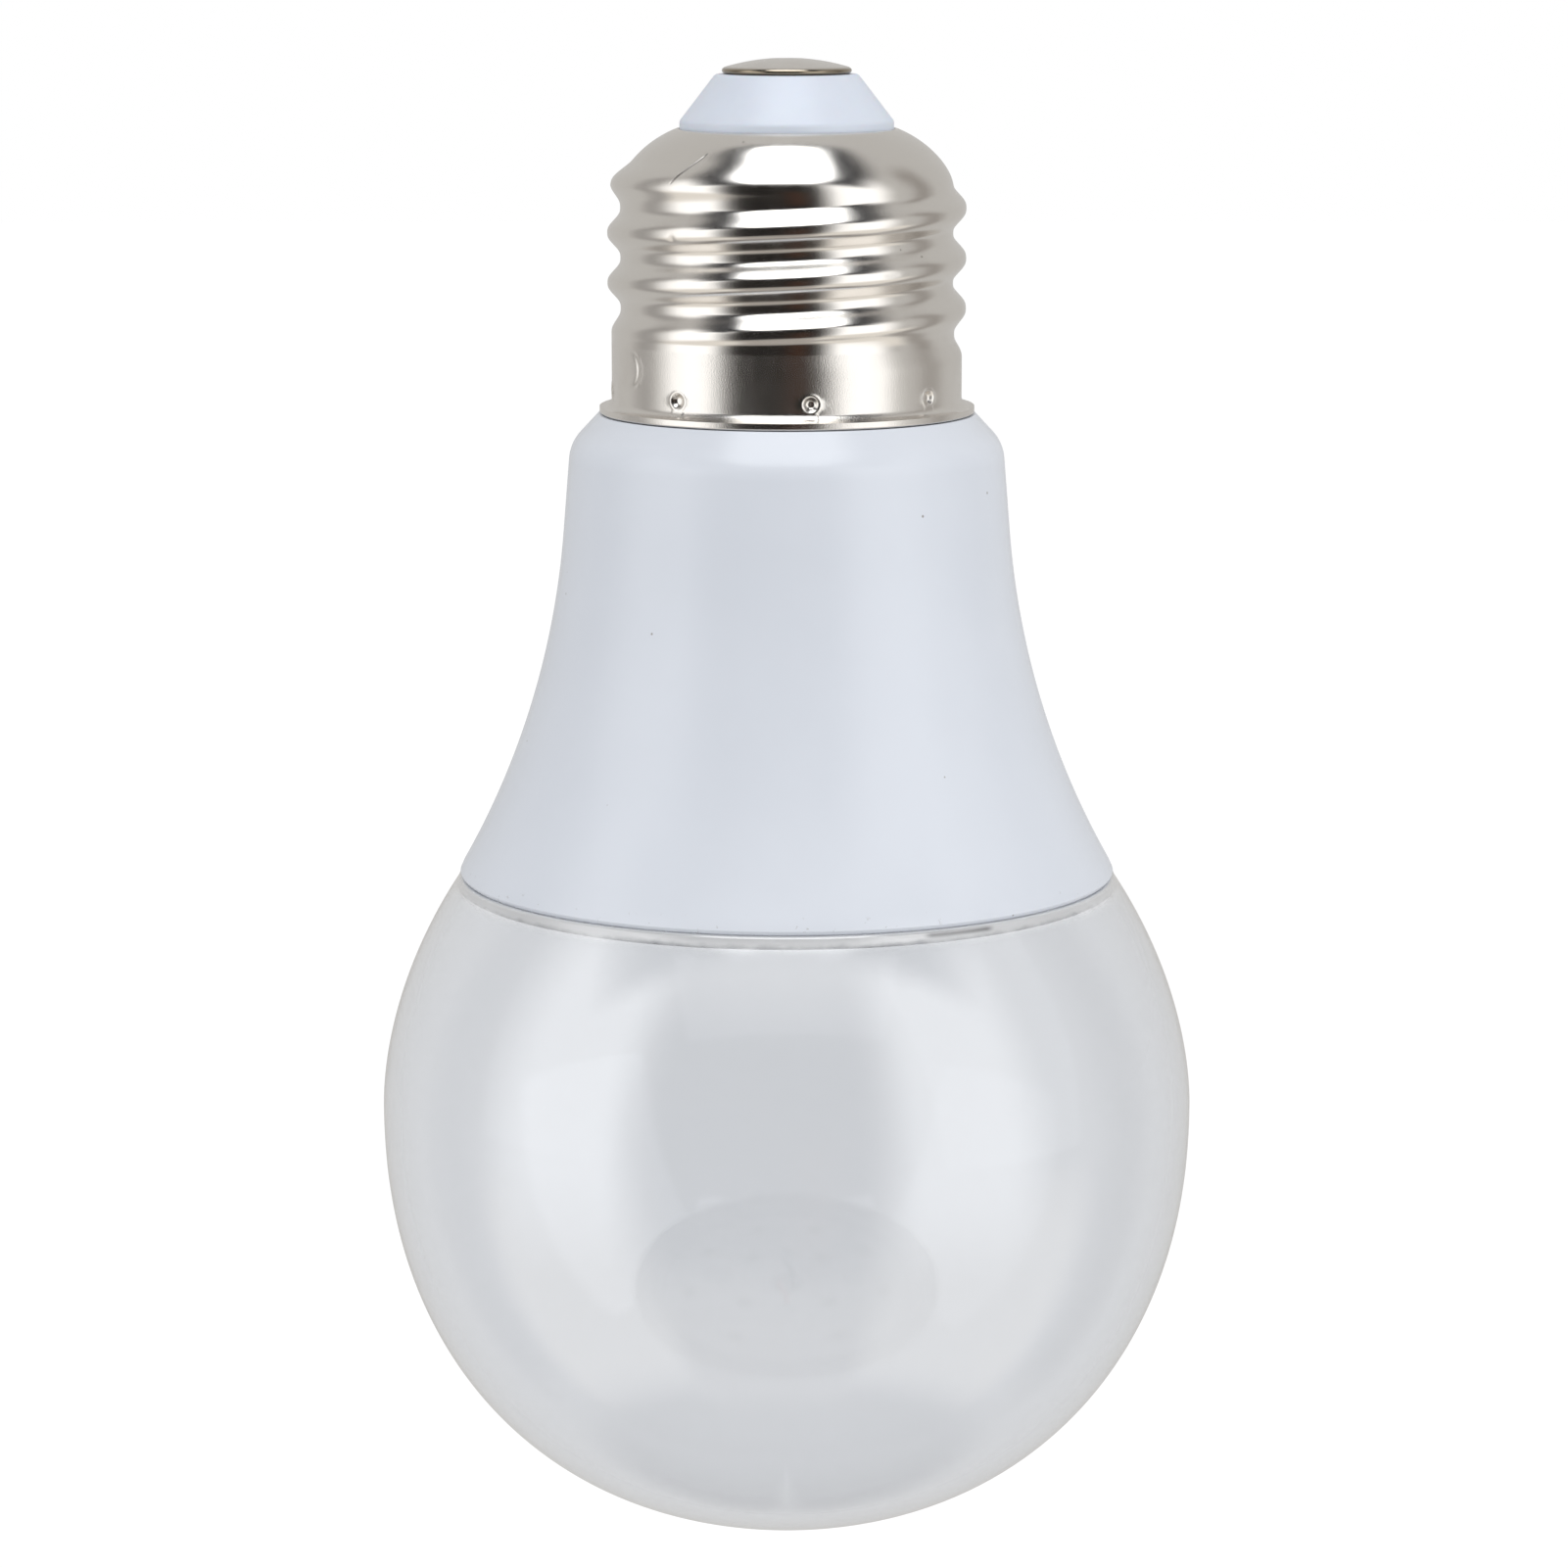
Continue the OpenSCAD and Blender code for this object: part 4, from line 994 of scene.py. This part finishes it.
def leds(looks):
    parts = led_parts()
    gel_points, gel_faces = gel_parts()
    finishes = [looks[key] for key in ("ceramic", "silver", "die", "gold", "solder")]
    for number in range(1, OUTER_LEDS + INNER_LEDS + 1):
        points = [seat_led(p, number) for p in parts.points]
        obj = make_object(f"led_{number}_package", points, parts.faces, finishes, parts.indices, 30)
        place(obj, "led_package", f"led_{number}")
        window = make_object(f"led_{number}_window", [seat_led(p, number) for p in gel_points],
                             gel_faces, [looks["gel"]])
        place(window, "led_package")


# BOARD
TRACK_H = 0.04


def arc_strip(radius, width, start, end):
    """A thin curved strip on the board between two angles in degrees."""
    steps = max(2, round((end - start) / 2))
    rings = []
    for i in range(steps + 1):
        a = math.radians(start + (end - start) * i / steps)
        c, s = math.cos(a), math.sin(a)
        low, high = radius - width / 2, radius + width / 2
        rings.append([(low * c, low * s, led_z), (high * c, high * s, led_z),
                      ((high - 0.05) * c, (high - 0.05) * s, led_z - TRACK_H),
                      ((low + 0.05) * c, (low + 0.05) * s, led_z - TRACK_H)])
    return capped(rings)


def board_tracks(looks):
    """Copper tracks that show as low ridges under the white mask, and the bare pads."""
    ridges = Parts()
    led_span = math.degrees(LED_W / 2 / OUTER_RING_R)
    for k in range(OUTER_LEDS):
        middle = 360 * (k + 0.5) / OUTER_LEDS
        step = 360 / OUTER_LEDS
        ridges.add(arc_strip(OUTER_RING_R, 2.4, middle + led_span + 2, middle + step - led_span - 2))
    inner_span = math.degrees(LED_W / 2 / INNER_RING_R)
    for k in range(INNER_LEDS):
        middle = 360 * (k + 0.5) / INNER_LEDS
        ridges.add(arc_strip(INNER_RING_R, 1.6, middle + inner_span + 4, middle + inner_span + 12))
        ridges.add(arc_strip(INNER_RING_R, 1.6, middle - inner_span - 12, middle - inner_span - 4))
    ridges.add(arc_strip(board_high.x - 0.9, 0.35, 0, 359.9))
    obj = make_object("board_tracks", ridges.points, ridges.faces, [looks["mask"]], sharp=30)
    place(obj, "board_white")
    pads = Parts()
    for side in (-1, 1):
        pads.add(capped([[(1.75 * math.cos(a), side * SOLDER_DROP + 1.75 * math.sin(a), led_z - d)
                          for a in (2 * math.pi * k / 48 for k in range(48))]
                         for d in (0.0, 0.03)]))
    obj = make_object("board_pads", pads.points, pads.faces, [looks["silver"]], sharp=30)
    place(obj, "solder")


# CAD NODES THAT KEEP THEIR MESH
CAD_LOOKS = {
    "heat_sink": "aluminium", "thermal_pad": "pad", "led_board": "mask",
    "solder_joints": "solder", "board_screws": "steel", "lead_positive": "red",
    "lead_negative": "black", "driver_board": "green", "fuse_resistor": "lacquer",
    "bridge_rectifier": "resin", "input_capacitor": "sleeve", "filter_inductor": "ferrite",
    "power_inductor": "tape", "driver_chip": "resin", "output_diode": "resin",
    "output_capacitor": "sleeve", "live_lead": "brown", "neutral_lead": "blue",
    "globe_sealant": "silicone"}
ROUND_LEADS = ("lead_positive", "lead_negative", "live_lead", "neutral_lead")


def dress_cad_nodes(looks):
    for name, key in CAD_LOOKS.items():
        obj = frame["nodes"][name]
        obj.data.materials.clear()
        obj.data.materials.append(looks[key])
        if name in ROUND_LEADS:
            weld = obj.modifiers.new("weld", "WELD")
            weld.merge_threshold = 0.000002
            soft = obj.modifiers.new("round", "SUBSURF")
            soft.levels = soft.render_levels = 2
            obj.data.polygons.foreach_set("use_smooth", [True] * len(obj.data.polygons))


# STAGE
FLOOR_DROP = 0.09


def background_rays(tree):
    """1 for rays that see the plain background: the camera's, gloss and clear pieces."""
    rays = tree.nodes.new("ShaderNodeLightPath").outputs
    total = rays["Is Camera Ray"]
    for name in ("Is Glossy Ray", "Is Transmission Ray"):
        step = tree.nodes.new("ShaderNodeMath")
        step.operation = "MAXIMUM"
        tree.links.new(total, step.inputs[0])
        tree.links.new(rays[name], step.inputs[1])
        total = step.outputs[0]
    return total


def floor():
    """A pale floor that is white to the camera, keeps a soft shadow and is open from below."""
    bpy.ops.mesh.primitive_plane_add(size=6, location=(0, 0, globe_bottom * MM - FLOOR_DROP))
    obj = bpy.context.object
    obj.name = "floor"
    material = bpy.data.materials.new("floor")
    material.use_nodes = True
    tree = material.node_tree
    tree.nodes.clear()
    matte = tree.nodes.new("ShaderNodeBsdfDiffuse")
    matte.inputs["Color"].default_value = (0.9, 0.9, 0.9, 1)
    glow = tree.nodes.new("ShaderNodeEmission")
    glow.inputs["Strength"].default_value = 1.1
    blend = tree.nodes.new("ShaderNodeMixShader")
    share = tree.nodes.new("ShaderNodeMath")
    share.operation = "MULTIPLY"
    share.inputs[1].default_value = 0.85
    tree.links.new(background_rays(tree), share.inputs[0])
    tree.links.new(share.outputs[0], blend.inputs[0])
    tree.links.new(matte.outputs[0], blend.inputs[1])
    tree.links.new(glow.outputs[0], blend.inputs[2])
    open_below = tree.nodes.new("ShaderNodeMixShader")
    clear = tree.nodes.new("ShaderNodeBsdfTransparent")
    back = tree.nodes.new("ShaderNodeNewGeometry")
    tree.links.new(back.outputs["Backfacing"], open_below.inputs[0])
    tree.links.new(blend.outputs[0], open_below.inputs[1])
    tree.links.new(clear.outputs[0], open_below.inputs[2])
    out = tree.nodes.new("ShaderNodeOutputMaterial")
    tree.links.new(open_below.outputs[0], out.inputs[0])
    obj.data.materials.append(material)
    obj.visible_glossy = False


def world():
    """White to the camera and through clear pieces, and a plain fill light. Gloss does not see it."""
    made = bpy.data.worlds.new("studio")
    bpy.context.scene.world = made
    made.cycles_visibility.glossy = False
    made.use_nodes = True
    tree = made.node_tree
    glow = tree.nodes["Background"]
    glow.inputs["Color"].default_value = (1, 1, 1, 1)
    level = tree.nodes.new("ShaderNodeMapRange")
    level.inputs["To Min"].default_value = 0.55
    level.inputs["To Max"].default_value = 1.0
    tree.links.new(background_rays(tree), level.inputs["Value"])
    tree.links.new(level.outputs[0], glow.inputs["Strength"])


def toward(turn, rise):
    """Unit direction at a turn from the camera's side, positive to the right, and a rise."""
    a, e = math.radians(turn), math.radians(rise)
    return Vector((math.sin(a) * math.cos(e), -math.cos(a) * math.cos(e), math.sin(e)))


STAGE_CENTRE = Vector((0, 0, -0.05))


def softbox(name, turn, rise, width, height, level, distance=0.75):
    """A soft rectangular lamp of a given width and height in degrees, as the bulb sees it."""
    w = 2 * distance * math.tan(math.radians(width / 2))
    h = 2 * distance * math.tan(math.radians(height / 2))
    data = bpy.data.lights.new(name, "AREA")
    data.shape = "RECTANGLE"
    data.size, data.size_y = w, h
    data.energy = level * math.pi * w * h
    obj = bpy.data.objects.new(name, data)
    bpy.context.scene.collection.objects.link(obj)
    direction = toward(turn, rise)
    obj.location = STAGE_CENTRE + direction * distance
    obj.rotation_euler = direction.to_track_quat("Z", "Y").to_euler()
    obj.visible_camera = False
    obj.visible_glossy = False


# What gloss and clear pieces mirror of the studio: soft patches on a wide sphere, each
# with its turn, rise and edge in degrees and its level. A later patch covers earlier ones.
WALL = (0.58, 0.57, 0.555)
ROOM = [
    {"turn": (98, 118), "rise": (-50, 42), "edge": 9, "level": (0.36, 0.34, 0.32)},
    {"turn": (-116, -96), "rise": (-50, 42), "edge": 9, "level": (0.38, 0.37, 0.36)},
    {"turn": (-180, 180), "rise": (-95, -58), "edge": 7, "level": (0.25, 0.235, 0.22)},
    {"turn": (-92, 92), "rise": (-56, -16), "edge": 7, "level": (0.92, 0.88, 0.82)},
    {"turn": (-86, -42), "rise": (-22, 44), "edge": 11, "level": (1.45, 1.45, 1.45)},
    {"turn": (28, 72), "rise": (-24, 46), "edge": 10, "level": (1.45, 1.45, 1.45)},
    {"turn": (-38, 27), "rise": (-64, -34), "edge": 7, "level": (0.46, 0.43, 0.40)},
    {"turn": (-43, 28), "rise": (-34, 38), "edge": 12, "level": (0.02, 0.018, 0.017)},
    {"turn": (2, 14), "rise": (-30, 6), "edge": 7, "level": (0.06, 0.032, 0.022)}]

# The overhead softbox, near the cap, flat and tilted, with a dark surround. Its half width
# and length are shares of its distance, and it starts in front of the cap at TOP_RISE.
TOP_DISTANCE = 0.165
TOP_FROM = -0.012
TOP_RISE = 36
TOP_HALF = 0.56
TOP_CORNER = 0.24
TOP_LENGTH = 3.0
TOP_LEVEL = (2.8, 2.85, 2.9)
TOP_SURROUND = (0.02, 0.02, 0.024)


class Room:
    """Nodes of a mirrored surface of the studio, which is painted patch by patch."""

    def __init__(self, name, wall):
        self.material = bpy.data.materials.new(name)
        self.material.use_nodes = True
        self.material.cycles.emission_sampling = "NONE"
        self.tree = self.material.node_tree
        self.tree.nodes.clear()
        self.place = self.tree.nodes.new("ShaderNodeTexCoord").outputs["Object"]
        self.colour = wall

    def calc(self, operation, a, b=0.0, c=0.0):
        made = self.tree.nodes.new("ShaderNodeMath")
        made.operation = operation
        for key, value in enumerate((a, b, c)):
            if isinstance(value, bpy.types.NodeSocket):
                self.tree.links.new(value, made.inputs[key])
            else:
                made.inputs[key].default_value = value
        return made.outputs[0]

    def split(self, vector):
        made = self.tree.nodes.new("ShaderNodeSeparateXYZ")
        self.tree.links.new(vector, made.inputs[0])
        return made.outputs

    def step(self, value, low, high):
        made = self.tree.nodes.new("ShaderNodeMapRange")
        made.interpolation_type = "SMOOTHSTEP"
        made.inputs["From Min"].default_value = low
        made.inputs["From Max"].default_value = high
        self.tree.links.new(value, made.inputs["Value"])
        return made.outputs[0]

    def band(self, value, low, high, edge):
        """1 between low and high, with soft edges."""
        above = self.step(value, low - edge, low + edge)
        below = self.step(value, high - edge, high + edge)
        return self.calc("SUBTRACT", above, below)

    def paint(self, amount, level):
        """Covers what is painted so far by a level, as far as amount says."""
        blend = self.tree.nodes.new("ShaderNodeMix")
        blend.data_type = "RGBA"
        self.tree.links.new(amount, blend.inputs[0])
        if isinstance(self.colour, tuple):
            blend.inputs[6].default_value = (*self.colour, 1)
        else:
            self.tree.links.new(self.colour, blend.inputs[6])
        blend.inputs[7].default_value = (*level, 1)
        self.colour = blend.outputs[2]

    def glow(self, cover=None):
        """Ends the material as a light of the painted colour, clear where cover is 0."""
        glow = self.tree.nodes.new("ShaderNodeEmission")
        self.tree.links.new(self.colour, glow.inputs["Color"])
        out = self.tree.nodes.new("ShaderNodeOutputMaterial")
        if cover is None:
            self.tree.links.new(glow.outputs[0], out.inputs[0])
            return
        clear = self.tree.nodes.new("ShaderNodeBsdfTransparent")
        blend = self.tree.nodes.new("ShaderNodeMixShader")
        self.tree.links.new(cover, blend.inputs[0])
        self.tree.links.new(clear.outputs[0], blend.inputs[1])
        self.tree.links.new(glow.outputs[0], blend.inputs[2])
        self.tree.links.new(blend.outputs[0], out.inputs[0])


def only_in_gloss(obj):
    """Makes a part of the studio show in reflections only. It lights nothing."""
    obj.visible_camera = False
    obj.visible_diffuse = False
    obj.visible_transmission = False
    obj.visible_shadow = False


def mirrored_room():
    """The wide sphere that carries the studio's reflection."""
    room = Room("mirrored_room", WALL)
    unit = room.tree.nodes.new("ShaderNodeVectorMath")
    unit.operation = "NORMALIZE"
    room.tree.links.new(room.place, unit.inputs[0])
    x, y, z = room.split(unit.outputs[0])
    turn = room.calc("DEGREES", room.calc("ARCTAN2", x, room.calc("MULTIPLY", y, -1.0)))
    rise = room.calc("DEGREES", room.calc("ARCSINE", z))
    for patch in ROOM:
        across = room.band(turn, *patch["turn"], patch["edge"])
        up = room.band(rise, *patch["rise"], patch["edge"])
        room.paint(room.calc("MULTIPLY", across, up), patch["level"])
    room.glow()
    bpy.ops.mesh.primitive_ico_sphere_add(subdivisions=5, radius=1.4, location=STAGE_CENTRE)
    obj = bpy.context.object
    obj.name = "mirrored_room"
    obj.data.materials.append(room.material)
    only_in_gloss(obj)


def mirrored_softbox():
    """The overhead softbox and its surround, as gloss shows them."""
    box = Room("mirrored_softbox", TOP_SURROUND)
    x, y, _ = box.split(box.place)
    side = box.calc("ABSOLUTE", x)
    low = box.calc("MAXIMUM", box.calc("SUBTRACT", 1.0, box.calc("DIVIDE", y, 2 * TOP_CORNER)), 0.0)
    narrowed = box.calc("MULTIPLY_ADD", box.calc("MULTIPLY", low, low), TOP_CORNER, side)
    bright = box.calc("MULTIPLY", box.band(y, 0.0, TOP_LENGTH, 0.08),
                      box.step(narrowed, TOP_HALF * 1.15, TOP_HALF * 0.8))
    box.paint(bright, TOP_LEVEL)
    cover = box.calc("MULTIPLY", box.band(y, 0.0, TOP_LENGTH * 1.35, 0.12),
                     box.step(side, TOP_HALF * 3.2, TOP_HALF * 1.3))
    box.glow(box.calc("MAXIMUM", cover, bright))
    reach = TOP_HALF * 4.2
    mesh = bpy.data.meshes.new("mirrored_softbox")
    mesh.from_pydata([(x, y, 0) for x, y in ((-reach, -0.2), (reach, -0.2),
                                             (reach, TOP_LENGTH * 1.5), (-reach, TOP_LENGTH * 1.5))],
                     [], [(0, 1, 2, 3)])
    mesh.materials.append(box.material)
    obj = bpy.data.objects.new("mirrored_softbox", mesh)
    bpy.context.scene.collection.objects.link(obj)
    obj.location = Vector((0, 0, TOP_FROM)) + toward(0, TOP_RISE) * TOP_DISTANCE
    obj.rotation_euler = (math.radians(90 - TOP_RISE), 0, 0)
    obj.scale = (TOP_DISTANCE, TOP_DISTANCE, TOP_DISTANCE)
    only_in_gloss(obj)


def lights():
    softbox("softbox_top", 0, 62, 62, 60, 1.0)
    softbox("softbox_left", -72, 22, 50, 60, 0.50)
    softbox("softbox_right", 68, 18, 50, 64, 0.88)


def camera():
    data = bpy.data.cameras.new("camera")
    data.lens = CAMERA_LENS
    data.sensor_width = 36
    data.clip_start = 0.01
    data.clip_end = 20
    obj = bpy.data.objects.new("camera", data)
    bpy.context.scene.collection.objects.link(obj)
    obj.location = CAMERA_AT
    obj.rotation_euler = (math.radians(90 - CAMERA_PITCH), 0, 0)
    bpy.context.scene.camera = obj


camera()
bpy.context.scene.view_settings.view_transform = "Standard"
bpy.context.scene.cycles.max_bounces = 32
bpy.context.scene.cycles.glossy_bounces = 32
bpy.context.scene.cycles.transmission_bounces = 32
looks = make_materials()

points, faces = revolve(contact_outline())
place(make_object("contact_button", points, faces, [looks["contact"]]), "nickel", "contact_pin")
points, faces = revolve(insulator_outline())
place(make_object("insulator_cone", points, faces, [looks["insulator"]]), "insulator_plastic",
      "cap_insulator")
screw_shell(looks["shell"])
housing(looks["housing"])
globe(looks["clear"])
leds(looks)
board_tracks(looks)
dress_cad_nodes(looks)
floor()
world()
mirrored_room()
mirrored_softbox()
lights()
